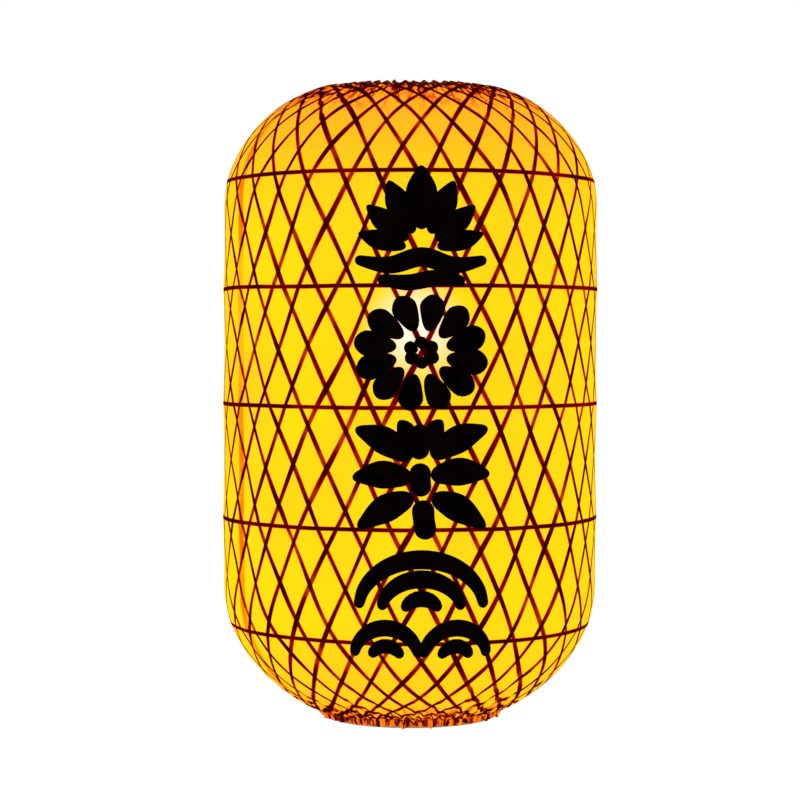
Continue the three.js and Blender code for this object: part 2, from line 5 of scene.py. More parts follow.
import bmesh
import bpy
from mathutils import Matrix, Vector


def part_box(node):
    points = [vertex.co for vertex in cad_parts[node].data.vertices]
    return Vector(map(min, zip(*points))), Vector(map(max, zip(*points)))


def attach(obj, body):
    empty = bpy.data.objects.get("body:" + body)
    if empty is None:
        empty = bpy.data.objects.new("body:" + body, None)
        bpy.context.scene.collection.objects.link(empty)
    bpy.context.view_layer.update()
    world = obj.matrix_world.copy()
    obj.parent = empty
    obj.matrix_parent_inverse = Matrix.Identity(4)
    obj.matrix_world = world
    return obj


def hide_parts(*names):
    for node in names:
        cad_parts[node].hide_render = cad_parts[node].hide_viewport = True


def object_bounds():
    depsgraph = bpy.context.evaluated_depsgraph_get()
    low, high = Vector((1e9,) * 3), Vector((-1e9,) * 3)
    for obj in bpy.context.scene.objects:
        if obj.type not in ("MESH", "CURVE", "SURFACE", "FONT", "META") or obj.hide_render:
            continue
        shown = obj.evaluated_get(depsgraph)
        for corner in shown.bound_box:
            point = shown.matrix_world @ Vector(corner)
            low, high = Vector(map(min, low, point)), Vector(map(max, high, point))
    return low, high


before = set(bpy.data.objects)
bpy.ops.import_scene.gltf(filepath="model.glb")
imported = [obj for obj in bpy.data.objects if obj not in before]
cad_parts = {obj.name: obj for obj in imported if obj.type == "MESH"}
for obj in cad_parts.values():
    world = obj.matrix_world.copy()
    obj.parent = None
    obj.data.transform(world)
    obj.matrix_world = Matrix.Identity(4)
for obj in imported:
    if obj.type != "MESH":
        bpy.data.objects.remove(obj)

CAD_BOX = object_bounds()
MM = 0.001
TURN = 2 * math.pi


def extent(node):
    """A CAD node's reach along X, its foot and its top."""
    low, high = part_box(node)
    return high[0], low[2], high[2]


def middle_of(node):
    """The level halfway up a CAD node."""
    _, foot, top = extent(node)
    return (foot + top) / 2


# ------ sizes read from the frame
HOOP_NAMES = [f"hoop_{i}" for i in range(1, 6)]
HOOP_LEVELS = [middle_of(name) for name in HOOP_NAMES]
MIDDLE = HOOP_LEVELS[2]
BARREL_RADIUS = (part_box("cloth_skin")[1][0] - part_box("cloth_skin")[0][0]) / 2
MOUTH_RADIUS = extent("top_ring")[0] + 1.5 * MM
BOTTOM_RING_FOOT = extent("bottom_ring")[1]

# ------ the lantern's own sizes
# Each shoulder is a quarter of an ellipse that starts above or below the body's middle.
TOP_SHOULDER = dict(side=1, start=180 * MM, across=115 * MM, high=113 * MM)
BOTTOM_SHOULDER = dict(side=-1, start=165 * MM, across=135 * MM, high=128 * MM)
TURNING_RADIUS = 76.7 * MM  # a strip's radius x sine of its angle to the meridian, the same everywhere
STRIP_COUNT = 32
STRIP_SPACING = TURN / STRIP_COUNT
LATTICE_START = math.radians(0.45)
FOLD_STRIPS = 15  # a strip comes back down this many places further round
FOLD_ANGLE = math.radians(5)
STRIP_WIDTH = 3 * MM
STRIP_THICK = 1.1 * MM
STRIP_START = 3 * MM
WEAVE_DEPTH = 2.3 * MM
WEAVE_SWING = 0.75 * MM
MOUTH_CLEARANCE = 1.6 * MM
CLEARANCE_REACH = 80 * MM
HOOP_THICK = 1.6 * MM
RING_THICK = 3 * MM
CLOTH_THICK = 0.35 * MM
HEM_LENGTH = 8 * MM
PLEATS = 58
COLUMNS_PER_PLEAT = 6
LAP_COLUMNS = 2
SEAM_ANGLE = math.radians(-62)
GLOBE_RADIUS = 30 * MM
BULB_LEVEL = extent("bulb_globe")[1] + GLOBE_RADIUS
BULB_SIDE = 4 * MM
THREAD_PITCH = 3.63 * MM

random.seed(7)


# ------ outline of the body
def place(radius, angle, height):
    """A point at an angle measured from the front, -Y, towards +X; height is above the middle."""
    return Vector((radius * math.sin(angle), -radius * math.cos(angle), MIDDLE + height))


def smooth(low, high, value):
    share = min(1.0, max(0.0, (value - low) / (high - low)))
    return share * share * (3 - 2 * share)


class Spot:
    """A place on the meridian: its radius, height and outward normal, how far round a strip has
    turned there, and its length along the meridian from the bottom mouth."""

    MEASURES = ("radius", "height", "out", "up", "turn", "run")

    def __init__(self, radius, height, out, up, turn=0.0, run=0.0):
        self.radius, self.height, self.out, self.up = radius, height, out, up
        self.turn, self.run = turn, run

    def inset(self, depth):
        return self.radius - depth * self.out, self.height - depth * self.up


def strip_slope(radius):
    """How far round a strip goes for each metre along the meridian."""
    return TURNING_RADIUS / (radius * math.sqrt(radius ** 2 - TURNING_RADIUS ** 2))


def barrel_turn(height):
    return -height * strip_slope(BARREL_RADIUS)


def shoulder_spot(shoulder, angle):
    radius = BARREL_RADIUS - shoulder["across"] * (1 - math.cos(angle))
    height = shoulder["side"] * (shoulder["start"] + shoulder["high"] * math.sin(angle))
    out, up = shoulder["high"] * math.cos(angle), shoulder["across"] * math.sin(angle)
    length = math.hypot(out, up)
    return Spot(radius, height, out / length, shoulder["side"] * up / length)


def between(before, after):
    return math.hypot(after.radius - before.radius, after.height - before.height)


def shoulder_spots(shoulder, steps=400):
    """Spots from the barrel to the mouth."""
    last = math.acos(1 - (BARREL_RADIUS - MOUTH_RADIUS) / shoulder["across"])
    spots = [shoulder_spot(shoulder, last * i / steps) for i in range(steps + 1)]
    turn = spots[0].turn = barrel_turn(shoulder["side"] * shoulder["start"])
    for before, after in zip(spots, spots[1:]):
        slope = strip_slope((before.radius + after.radius) / 2)
        turn -= shoulder["side"] * between(before, after) * slope
        after.turn = turn
    return spots


def whole_meridian(barrel_steps=300):
    low, high = -BOTTOM_SHOULDER["start"], TOP_SHOULDER["start"]
    barrel = [low + (high - low) * i / barrel_steps for i in range(1, barrel_steps)]
    spots = shoulder_spots(BOTTOM_SHOULDER)[::-1]
    spots += [Spot(BARREL_RADIUS, z, 1, 0, barrel_turn(z)) for z in barrel]
    spots += shoulder_spots(TOP_SHOULDER)
    for before, after in zip(spots, spots[1:]):
        after.run = before.run + between(before, after)
    return spots


MERIDIAN = whole_meridian()
MERIDIAN_RUNS = [spot.run for spot in MERIDIAN]
MERIDIAN_LENGTH = MERIDIAN_RUNS[-1]


def meridian(run):
    """The spot at a length along the meridian, from the bottom mouth (0) to the top mouth."""
    low = min(max(bisect_right(MERIDIAN_RUNS, run) - 1, 0), len(MERIDIAN) - 2)
    a, b = MERIDIAN[low], MERIDIAN[low + 1]
    share = (run - a.run) / (b.run - a.run)
    return Spot(*[getattr(a, name) + (getattr(b, name) - getattr(a, name)) * share
                  for name in Spot.MEASURES])


def run_at_height(height):
    return min(MERIDIAN, key=lambda spot: abs(spot.height - height)).run


# ------ hand-made unevenness
# Each wave is (phase, lobes round the body, change along a strip, size as an angle).
WAVES = [(random.uniform(0, TURN), random.randint(1, 5), random.uniform(4, 18), 0.013 / (i + 2))
         for i in range(6)]
WAVES += [(random.uniform(0, TURN), lobes, random.uniform(-6, 6), 0.0055) for lobes in (9, 13, 16)]


def waver(angle, run, family):
    """How far a strip strays from its even place, as an angle; family is +1 or -1."""
    total = 0.0
    for i, (phase, lobes, pace, size) in enumerate(WAVES):
        total += size * math.sin(lobes * angle + family * phase * (i + 1) + pace * run)
    return total


def bulge(angle, run, reach=120 * MM):
    """A slow unevenness of the whole body, outwards and inwards, that fades out at the mouths."""
    fade = smooth(0, reach, run) * smooth(0, reach, MERIDIAN_LENGTH - run)
    return fade * (0.8 * math.sin(2 * angle + 3 * run) + 0.6 * math.sin(3 * angle - 7 * run + 1)) * MM


def hoop_draw(spot):
    """The cloth stands proud over each hoop and is drawn in between them."""
    nearest = min(abs(spot.height - (level - MIDDLE)) for level in HOOP_LEVELS)
    proud, drawn_in, ridge, reach = 0.5 * MM, 0.7 * MM, 3 * MM, 45 * MM
    return proud * math.exp(-((nearest / ridge) ** 2)) - drawn_in * smooth(0, reach, nearest)


def spot_point(spot, angle, lift):
    return place(spot.radius + lift * spot.out, angle, spot.height + lift * spot.up)


# ------ mesh helpers
def new_piece(name, vertices, faces, material, body):
    mesh = bpy.data.meshes.new(name)
    mesh.from_pydata([tuple(v) for v in vertices], [], faces)
    mesh.validate()
    piece = bpy.data.objects.new(name, mesh)
    bpy.context.scene.collection.objects.link(piece)
    mesh.shade_smooth()
    mesh.materials.append(material)
    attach(piece, body)
    return piece


def write_attribute(piece, name, values):
    layer = piece.data.attributes.new(name, "FLOAT_VECTOR", "POINT")
    layer.data.foreach_set("vector", [x for value in values for x in value])


def edit_mesh(piece, change):
    work = bmesh.new()
    work.from_mesh(piece.data)
    change(work)
    work.to_mesh(piece.data)
    work.free()


def face_outwards(piece):
    edit_mesh(piece, lambda work: bmesh.ops.recalc_face_normals(work, faces=work.faces))


def keep_creases(piece, degrees):
    """Shades smoothly over every edge but the ones bent more than so many degrees."""
    def mark(work):
        for edge in work.edges:
            bend = edge.calc_face_angle(0)
            edge.smooth = len(edge.link_faces) == 2 and bend < math.radians(degrees)
    edit_mesh(piece, mark)


def take_place(node):
    """Hides the CAD node that a piece takes the place of."""
    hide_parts(node)


def solid(name, mesh, material, body, node=None, crease=35):
    """A closed piece from (vertices, faces)."""
    piece = new_piece(name, *mesh, material, body)
    face_outwards(piece)
    keep_creases(piece, crease)
    if node:
        take_place(node)
    return piece


def turned_mesh(profile, segments=96, ripple=None):
    """A profile of (radius, height) turned about Z. It runs from axis to axis, or closes on itself.
    ripple(radius, angle, height) is added to a radius."""
    vertices, faces, rings = [], [], []
    for radius, height in profile:
        count = segments if radius else 1
        rings.append(range(len(vertices), len(vertices) + count))
        for i in range(count):
            angle = TURN * i / segments
            r = radius + (ripple(radius, angle, height) if ripple and radius else 0)
            vertices.append(Vector((r * math.cos(angle), r * math.sin(angle), height)))
    closed = profile[0][0] != 0
    for low, high in zip(rings, rings[1:] + (rings[:1] if closed else [])):
        for i in range(segments):
            j = (i + 1) % segments
            corners = (low[i % len(low)], low[j % len(low)], high[j % len(high)], high[i % len(high)])
            faces.append(tuple(dict.fromkeys(corners)))
    return vertices, faces


def turned(name, profile, material, body, node, segments=96, ripple=None):
    return solid(name, turned_mesh(profile, segments, ripple), material, body, node)


def tube_mesh(path, radius, sides=16, closed=False):
    """A round wire through the points of a path."""
    vertices, faces = [], []
    count = len(path)
    normal = None
    for i, point in enumerate(path):
        before = path[i - 1] if closed or i else point
        after = path[(i + 1) % count] if closed or i < count - 1 else point
        along = (after - before).normalized()
        if normal is None:
            normal = along.orthogonal().normalized()
        normal = (normal - along * normal.dot(along)).normalized()
        across = along.cross(normal)
        for k in range(sides):
            angle = TURN * k / sides
            vertices.append(point + radius * (normal * math.cos(angle) + across * math.sin(angle)))
    for i in range(count if closed else count - 1):
        a, b = i * sides, ((i + 1) % count) * sides
        for k in range(sides):
            m = (k + 1) % sides
            faces.append((a + k, a + m, b + m, b + k))
    if not closed:
        faces.append(tuple(range(sides))[::-1])
        faces.append(tuple(range((count - 1) * sides, count * sides)))
    return vertices, faces


def join_meshes(meshes):
    vertices, faces = [], []
    for more_vertices, more_faces in meshes:
        start = len(vertices)
        vertices += more_vertices
        faces += [tuple(start + i for i in face) for face in more_faces]
    return vertices, faces


def unite(piece, *others):
    """Joins the other pieces' solids into the first and removes them."""
    for other in others:
        union = piece.modifiers.new("union", "BOOLEAN")
        union.operation = "UNION"
        union.solver = "EXACT"
        union.object = other
        bpy.context.view_layer.objects.active = piece
        bpy.ops.object.modifier_apply(modifier=union.name)
        bpy.data.objects.remove(other, do_unlink=True)
    piece.data.shade_smooth()
    keep_creases(piece, 35)


# A strip's section with eased edges, as shares of its width and thickness.
STRIP_SECTION = [(-0.5, -0.28), (-0.38, -0.5), (0.38, -0.5), (0.5, -0.28), (0.5, 0.28), (0.38, 0.5),
                 (-0.38, 0.5), (-0.5, 0.28)]


def band_piece(name, stations, width, thick, material, node):
    """A flat strip through stations of (centre, face normal, share of the thickness)."""
    sides = len(STRIP_SECTION)
    vertices, faces, places = [], [], []
    travelled = 0.0
    for i, (centre, normal, scale) in enumerate(stations):
        before = stations[max(i - 1, 0)][0]
        after = stations[min(i + 1, len(stations) - 1)][0]
        along = (after - before).normalized()
        across = normal.cross(along).normalized()
        face = along.cross(across).normalized()
        travelled += (centre - before).length if i else 0
        for side, height in STRIP_SECTION:
            vertices.append(centre + across * side * width + face * height * thick * scale)
            places.append((travelled / MM, side * width / MM, height))
    for i in range(len(stations) - 1):
        for k in range(sides):
            a, b = sides * i + k, sides * i + (k + 1) % sides
            faces.append((a, a + sides, b + sides, b))
    faces.append(tuple(range(sides)))
    faces.append(tuple(range(len(vertices) - sides, len(vertices)))[::-1])
    piece = new_piece(name, vertices, faces, material, "lantern")
    write_attribute(piece, "fibre_place", places)
    face_outwards(piece)
    keep_creases(piece, 50)
    take_place(node)


# ------ shader helpers
FLOAT, VECTOR = "NodeSocketFloat", "NodeSocketVector"


class Graph:
    """Short calls that add nodes to a material or a node group."""

    def __init__(self, tree):
        self.nodes, self.links = tree.nodes, tree.links

    def put(self, socket, value):
        if isinstance(value, bpy.types.NodeSocket):
            self.links.new(value, socket)
        else:
            socket.default_value = value

    def fill(self, kind, *values, **named):
        """Puts values on the first sockets of a node, new or given, and others on named ones."""
        node = self.nodes.new(kind) if isinstance(kind, str) else kind
        for socket, value in zip(node.inputs, values):
            self.put(socket, value)
        for name, value in named.items():
            self.put(node.inputs[name.replace("_", " ")], value)
        return node.outputs

    def maths(self, operation, *values, clamp=False):
        node = self.nodes.new("ShaderNodeMath")
        node.operation = operation
        node.use_clamp = clamp
        return self.fill(node, *values)[0]

    def times(self, first, second, clamp=False):
        return self.maths("MULTIPLY", first, second, clamp=clamp)

    def plus(self, first, second, clamp=False):
        return self.maths("ADD", first, second, clamp=clamp)

    def minus(self, first, second, clamp=False):
        return self.maths("SUBTRACT", first, second, clamp=clamp)

    def line(self, value, slope, start):
        return self.maths("MULTIPLY_ADD", value, slope, start)

    def away_from(self, value, centre):
        return self.maths("ABSOLUTE", self.minus(value, centre))

    def attribute(self, name):
        node = self.nodes.new("ShaderNodeAttribute")
        node.attribute_name = name
        return node.outputs["Vector"]

    def split(self, vector):
        return self.fill("ShaderNodeSeparateXYZ", vector)

    def combine(self, *values):
        return self.fill("ShaderNodeCombineXYZ", *values)[0]

    def object_place(self):
        return self.nodes.new("ShaderNodeTexCoord").outputs["Object"]

    def noise(self, vector, scale, detail=2.0, roughness=0.5):
        return self.fill("ShaderNodeTexNoise", Vector=vector, Scale=scale, Detail=detail,
                         Roughness=roughness)[0]

    def ease(self, value, low, high, to_low=0.0, to_high=1.0):
        """Turns the range low to high smoothly into to_low to to_high."""
        node = self.nodes.new("ShaderNodeMapRange")
        node.interpolation_type = "SMOOTHSTEP"
        return self.fill(node, value, low, high, to_low, to_high)[0]

    def blend(self, share, first, second, mode="MIX"):
        node = self.nodes.new("ShaderNodeMix")
        node.data_type = "RGBA"
        node.blend_type = mode
        for socket, value in ((0, share), (6, first), (7, second)):
            if isinstance(value, tuple) and len(value) == 3:
                value = (*value, 1)
            self.put(node.inputs[socket], value)
        return node.outputs[2]

    def ramp(self, value, *stops):
        """Stops are (position, colour)."""
        node = self.nodes.new("ShaderNodeValToRGB")
        points = node.color_ramp.elements
        while len(points) < len(stops):
            points.new(0.5)
        for point, (position, colour) in zip(points, stops):
            point.position = position
            point.color = (*colour, 1)
        return self.fill(node, value)[0]

    def bump(self, height, strength, distance):
        return self.fill("ShaderNodeBump", Strength=strength, Distance=distance, Height=height)[0]

    def group(self, group, **inputs):
        node = self.nodes.new("ShaderNodeGroup")
        node.node_tree = group
        return self.fill(node, **{name.capitalize(): value for name, value in inputs.items()})


def new_group(name, inputs, outputs):
    """A shader node group; inputs are (name, socket type, default), outputs are names of values."""
    tree = bpy.data.node_groups.new(name, "ShaderNodeTree")
    for socket_name, kind, default in inputs:
        socket = tree.interface.new_socket(socket_name, in_out="INPUT", socket_type=kind)
        if default is not None:
            socket.default_value = default
    for socket_name in outputs:
        tree.interface.new_socket(socket_name, in_out="OUTPUT", socket_type=FLOAT)
    given = tree.nodes.new("NodeGroupInput").outputs
    made = tree.nodes.new("NodeGroupOutput").inputs
    return tree, Graph(tree), given, made


def new_material(name, **plain):
    """A material with one Principled shader; plain values go on the shader's own sockets."""
    material = bpy.data.materials.new(name)
    material.use_nodes = True
    shader = next(n for n in material.node_tree.nodes if n.type == "BSDF_PRINCIPLED")
    for socket, value in plain.items():
        shader.inputs[socket.replace("_", " ")].default_value = value
    return material, Graph(material.node_tree), shader.inputs


# ------ shader node groups
def strip_shadow_group():
    """Shadow of one family of strips on the cloth, from its lattice place and the other family's.
    Gap is the distance between strips in millimetres. Where a strip passes under the other family
    it lies further from the cloth, and its shadow is wider, softer and paler."""
    inputs = [("Own place", FLOAT, 0.0), ("Other place", FLOAT, 0.0), ("Gap", FLOAT, 30.0),
              ("Half width", FLOAT, 1.3), ("Side", FLOAT, 1.0)]
    tree, g, given, made = new_group("strip shadow", inputs, ["Shade"])
    number = g.maths("ROUND", given["Own place"])
    distance = g.times(g.away_from(given["Own place"], number), given["Gap"])
    crossing = g.maths("COSINE", g.times(g.plus(given["Other place"], number), math.pi))
    nearness = g.line(g.times(crossing, given["Side"]), 0.5, 0.5)
    core = g.times(given["Half width"], g.line(nearness, 0.35, 0.65))
    soft_edge = g.line(nearness, -0.9, 1.9)
    fall = g.ease(distance, core, g.plus(core, soft_edge), 1.0, 0.0)
    g.put(made["Shade"], g.times(fall, g.line(nearness, 0.26, 0.74)))
    return tree


def cloth_weave_group():
    """Plain weave of fine threads: a height and a slight change of brightness."""
    inputs = [("Place", VECTOR, None), ("Threads per mm", FLOAT, 1.6)]
    tree, g, given, made = new_group("cloth weave", inputs, ["Height", "Brightness"])
    across, up, _ = g.split(given["Place"])
    pace = g.times(given["Threads per mm"], TURN)
    warp, weft = (g.maths("SINE", g.times(way, pace)) for way in (across, up))
    slub = g.noise(given["Place"], 0.25, 3.0)
    height = g.line(g.times(warp, weft), 0.5, slub)
    g.put(made["Height"], height)
    g.put(made["Brightness"], g.line(height, 0.05, 0.965))
    return tree


def fibre_group():
    """Long fibres of a piece of bamboo, with darker joints; the place is (along, across, face)."""
    inputs = [("Place", VECTOR, None), ("Fineness", FLOAT, 3.0), ("Joint spacing", FLOAT, 230.0)]
    tree, g, given, made = new_group("bamboo fibre", inputs, ["Tone", "Joint", "Height"])
    along, across, face = g.split(given["Place"])
    stretched = g.combine(g.times(along, 0.03), across, face)
    fibres = g.noise(stretched, given["Fineness"], 4.0, 0.65)
    patches = g.noise(given["Place"], 0.05)
    joints = g.maths("FRACT", g.maths("DIVIDE", along, given["Joint spacing"]))
    from_joint = g.times(g.away_from(joints, 0.5), given["Joint spacing"])
    joint = g.ease(from_joint, 0.8, 3.0, 1.0, 0.0)
    g.put(made["Tone"], g.line(fibres, 0.6, g.times(patches, 0.4)))
    g.put(made["Joint"], joint)
    g.put(made["Height"], g.plus(fibres, g.times(joint, 1.5)))
    return tree


def wear_group():
    """Fine scratches, dull patches and rubbed edges of hard pieces."""
    inputs = [("Scale", FLOAT, 300.0), ("Patchiness", FLOAT, 0.3)]
    tree, g, given, made = new_group("surface wear", inputs, ["Patches", "Scratches", "Edges"])
    where = g.object_place()
    patches = g.noise(where, g.times(given["Scale"], 0.25), 5.0, 0.6)
    pointed = g.nodes.new("ShaderNodeNewGeometry").outputs["Pointiness"]
    g.put(made["Patches"], g.times(patches, given["Patchiness"]))
    g.put(made["Scratches"], g.noise(where, g.times(given["Scale"], 4.0), 3.0, 0.7))
    g.put(made["Edges"], g.ease(pointed, 0.5, 0.62))
    return tree


STRIP_SHADOW = strip_shadow_group()
CLOTH_WEAVE = cloth_weave_group()
FIBRE = fibre_group()
WEAR = wear_group()


# ------ materials
GLOW_BRIGHT = (1.0, 0.67, 0.006)
GLOW_SHOULDER = (1.0, 0.42, 0.015)
GLOW_BY_BULB = (1.0, 0.90, 0.78)
# Painted shade of the lap, where two layers of cloth let less light through.
SEAM_SHADE_ORANGE = (0.80, 0.15, 0.0)
UNLIT_SHARE = (0.22, 0.17, 0.06)
# Painted shade of the top rim, where the cloth lies doubled over the ring.
DOUBLED_CLOTH_SHADE = (0.15, 0.045, 0.008)


def strip_lines(g, where):
    """Where either family's shadow falls, and where both do."""
    first_place, second_place, gap = g.split(g.attribute("lattice_place"))
    half_width = g.ease(g.noise(where, 13.0), 0.3, 0.7, 1.3, 2.1)
    first, second = (
        g.group(STRIP_SHADOW, own_place=own, other_place=other, gap=gap, half_width=half_width,
                side=side)["Shade"]
        for own, other, side in ((first_place, second_place, 1.0), (second_place, first_place, -1.0)))
    return g.maths("MAXIMUM", first, second), g.times(first, second)


def hoop_lines(g, where, height):
    """Level shadows of the hoops, wandering a little up and down."""
    level = g.plus(height, g.line(g.noise(where, 9.0), 2.6 * MM, -1.3 * MM))
    hoops = None
    for hoop_level in HOOP_LEVELS:
        off = g.maths("DIVIDE", g.away_from(level, hoop_level), MM)
        line = g.ease(off, 1.15, 2.4, 0.97, 0.0)
        hoops = line if hoops is None else g.maths("MAXIMUM", hoops, line)
    return hoops


def gather_shade(g, wave, inward, upper):
    """Painted shade of the folds, creases and darker rims near the mouths, lessened by a painted highlight
    on the crests, and the creases alone. Wave is -1 in a fold, inward is millimetres from the mouth,
    upper is 1 on the top half and 0 on the bottom half."""
    near_mouth = g.ease(inward, 4.0, g.line(upper, 30.0, 50.0), 1.0, 0.0)
    across, along, _ = g.split(g.attribute("weave_place"))
    drawn_out = g.combine(across, g.times(along, 0.35))
    from_crease = g.away_from(g.noise(drawn_out, 0.045, 3.0, 0.6), 0.5)
    crease = g.times(g.ease(from_crease, 0.0, 0.045, 0.85, 0.0), near_mouth)
    fold = g.ease(wave, -0.1, -1.0, 0.0, g.line(upper, 0.44, 0.30))
    # Painted shade along the rim, where the cloth lies doubled over the ring.
    rim_reach, rim_depth = g.line(upper, 13.0, 3.0), g.line(upper, 0.52, 0.06)
    rim = g.times(g.ease(inward, rim_reach, -1.0), rim_depth)
    # Painted highlight: the shade is lessened on the crests of the pleats.
    crest = g.ease(wave, 0.15, 1.1, 0.0, 0.22)
    gathers = g.minus(g.plus(g.maths("MAXIMUM", fold, crease), rim), crest, clamp=True)
    # Patchy painted shade, orange to red, that grows towards the mouths.
    patchy_shade = g.ease(g.noise(drawn_out, 0.03, 3.0, 0.6), 0.35, 0.65, 0.1, g.line(upper, 0.22, 0.3))
    return g.plus(gathers, g.times(g.maths("POWER", near_mouth, 2.0), patchy_shade)), crease


def glow_colour(g, where, above):
    """The light through bare cloth: yellow, oranger on the shoulders, nearly white by the bulb."""
    side, _, height = g.split(where)
    lift = g.ease(above, -0.36, -0.16, 0.4, 1.0)
    drop = g.ease(above, 0.16, 0.29, 1.0, 0.0)
    cloudy = g.line(g.noise(where, 7.0, 3.0), 1.1, 0.35)
    bright = g.times(g.times(lift, drop), cloudy, clamp=True)
    glow = g.blend(bright, GLOW_SHOULDER, GLOW_BRIGHT)
    squares = [g.maths("POWER", g.minus(here, bulb), 2.0)
               for here, bulb in ((side, BULB_SIDE), (height, BULB_LEVEL))]
    hot = g.ease(g.maths("SQRT", g.plus(*squares)), 2 * MM, 50 * MM, 1.0, 0.0)
    return g.blend(hot, glow, GLOW_BY_BULB)


def lit_cloth():
    """Yellow cloth lit from behind, its glow painted as emission. Strips and hoops that touch it
    show as dark painted shadows, and those behind them as blurred, red painted shadows."""
    material, g, shader = new_material("lit yellow cloth", Roughness=1.0, Emission_Strength=1.0,
                                       Specular_IOR_Level=0.0)
    wave, lap, inward = g.split(g.attribute("cloth_fold"))
    where = g.object_place()
    height = g.split(where)[2]
    above = g.minus(height, MIDDLE)

    strips, crossings = strip_lines(g, where)
    strength = g.ease(g.noise(where, 22.0), 0.3, 0.6, 0.78, 1.0)
    lines = g.times(g.maths("MAXIMUM", strips, hoop_lines(g, where, height)), strength)
    lines = g.plus(lines, g.times(crossings, 0.5), clamp=True)
    lines = g.times(lines, g.ease(inward, -1.0, 16.0, 0.12, 1.0))

    upper = g.ease(above, -0.1, 0.1)
    gathers, crease = gather_shade(g, wave, inward, upper)
    shade = g.plus(lines, gathers, clamp=True)
    # Painted shade: the summed shadows and shade turn the glow orange, red and then dark maroon.
    painted_shade_tint = g.ramp(shade, (0.0, (1, 1, 1)), (0.26, (0.95, 0.42, 0.5)), (0.50, (0.56, 0.07, 0.05)),
                   (0.74, (0.16, 0.002, 0.0)), (0.96, (0.035, 0.0, 0.0)))

    # Painted shade: the lap is painted oranger in patches, as less light comes through two layers.
    seam_shade_share = g.ease(g.noise(where, 16.0), 0.3, 0.65, 0.35, 0.95)
    colour = g.blend(g.times(lap, seam_shade_share), glow_colour(g, where, above), SEAM_SHADE_ORANGE)
    colour = g.blend(1.0, colour, painted_shade_tint, "MULTIPLY")
    weave = g.group(CLOTH_WEAVE, place=g.attribute("weave_place"))
    colour = g.blend(1.0, colour, g.combine(*[weave["Brightness"]] * 3), "MULTIPLY")
    g.put(shader["Emission Color"], colour)

    # Painted shade: near the top mouth the base colour is darkened to maroon, where the cloth lies doubled
    # over the ring.
    doubled_cloth_shade = g.ease(inward, 10.0, -1.0, 0.0, g.times(upper, 0.9))
    # The unlit colour is the glow colour scaled down, so it keeps the painted shadows, painted shade and the
    # painted light by the bulb.
    unlit = g.blend(1.0, colour, UNLIT_SHARE, "MULTIPLY")
    g.put(shader["Base Color"], g.blend(doubled_cloth_shade, unlit, DOUBLED_CLOTH_SHADE))
    relief = g.line(lines, 4.0, g.times(weave["Height"], 0.25))
    g.put(shader["Normal"], g.bump(g.line(crease, -3.0, relief), 0.35, 0.1 * MM))
    return material


def brush_black():
    """Matt black paint, a little thinner and browner in places."""
    material, g, shader = new_material("brushed black paint", Specular_IOR_Level=0.0)
    streaks = g.noise(g.object_place(), 60.0, 4.0, 0.6)
    g.put(shader["Base Color"], g.ramp(streaks, (0.3, (0.0006, 0.0004, 0.0004)),
                                       (0.8, (0.004, 0.002, 0.001))))
    g.put(shader["Roughness"], g.ease(streaks, 0.2, 0.8, 0.75, 0.95))
    g.put(shader["Normal"], g.bump(streaks, 0.2, 0.2 * MM))
    return material


def bamboo(name, pale, dark, joint_colour, fineness):
    material, g, shader = new_material(name, Roughness=0.5)
    fibre = g.group(FIBRE, place=g.attribute("fibre_place"), fineness=fineness)
    colour = g.ramp(fibre["Tone"], (0.3, dark), (0.7, pale))
    g.put(shader["Base Color"], g.blend(fibre["Joint"], colour, joint_colour))
    g.put(shader["Roughness"], g.ease(fibre["Tone"], 0.2, 0.8, 0.62, 0.4))
    g.put(shader["Normal"], g.bump(fibre["Height"], 0.4, 0.2 * MM))
    return material


def hard_finish(name, colour, worn, rough, metallic=0.0, scale=300.0, scratch=0.12):
    """Metal, plastic or thread with patches, fine scratches and rubbed edges; rough is a range."""
    material, g, shader = new_material(name, Metallic=metallic)
    wear = g.group(WEAR, scale=scale)
    tinted = g.blend(wear["Patches"], colour, worn)
    g.put(shader["Base Color"], g.blend(g.times(wear["Edges"], 0.6), tinted, worn))
    g.put(shader["Roughness"], g.ease(wear["Scratches"], 0.2, 0.8, *rough))
    g.put(shader["Normal"], g.bump(wear["Scratches"], scratch, 0.1 * MM))
    return material


def glowing_opal():
    """The bulb's diffuser: an even warm glow, a little dimmer towards its neck."""
    material, g, shader = new_material("glowing opal", Roughness=0.35, Emission_Strength=9.0)
    _, foot, top = extent("bulb_globe")
    share = g.ease(g.split(g.object_place())[2], foot, top)
    g.put(shader["Emission Color"], g.ramp(share, (0.55, (1.0, 0.93, 0.74)), (1.0, (1.0, 0.72, 0.40))))
    g.put(shader["Base Color"], g.ramp(share, (0.0, (0.95, 0.93, 0.88)), (1.0, (0.9, 0.86, 0.78))))
    return material


CLOTH = lit_cloth()
PAINT = brush_black()
STRIP_BAMBOO = bamboo("split bamboo", (0.42, 0.20, 0.07), (0.16, 0.055, 0.018), (0.09, 0.03, 0.01), 3.0)
HOOP_BAMBOO = bamboo("hoop bamboo", (0.50, 0.27, 0.10), (0.22, 0.085, 0.03), (0.12, 0.045, 0.015), 2.0)
RING_BAMBOO = bamboo("bent ring bamboo", (0.54, 0.29, 0.10), (0.30, 0.13, 0.045), (0.2, 0.1, 0.04), 1.5)
THREAD = hard_finish("waxed thread", (0.42, 0.30, 0.16), (0.22, 0.14, 0.07), (0.6, 0.85),
                     scale=900.0, scratch=0.6)
ZINC = hard_finish("zinc-plated steel", (0.62, 0.62, 0.60), (0.40, 0.38, 0.34), (0.22, 0.42),
                   metallic=1.0, scratch=0.15)
BRASS = hard_finish("pressed brass", (0.78, 0.56, 0.24), (0.45, 0.30, 0.12), (0.18, 0.38), metallic=1.0)
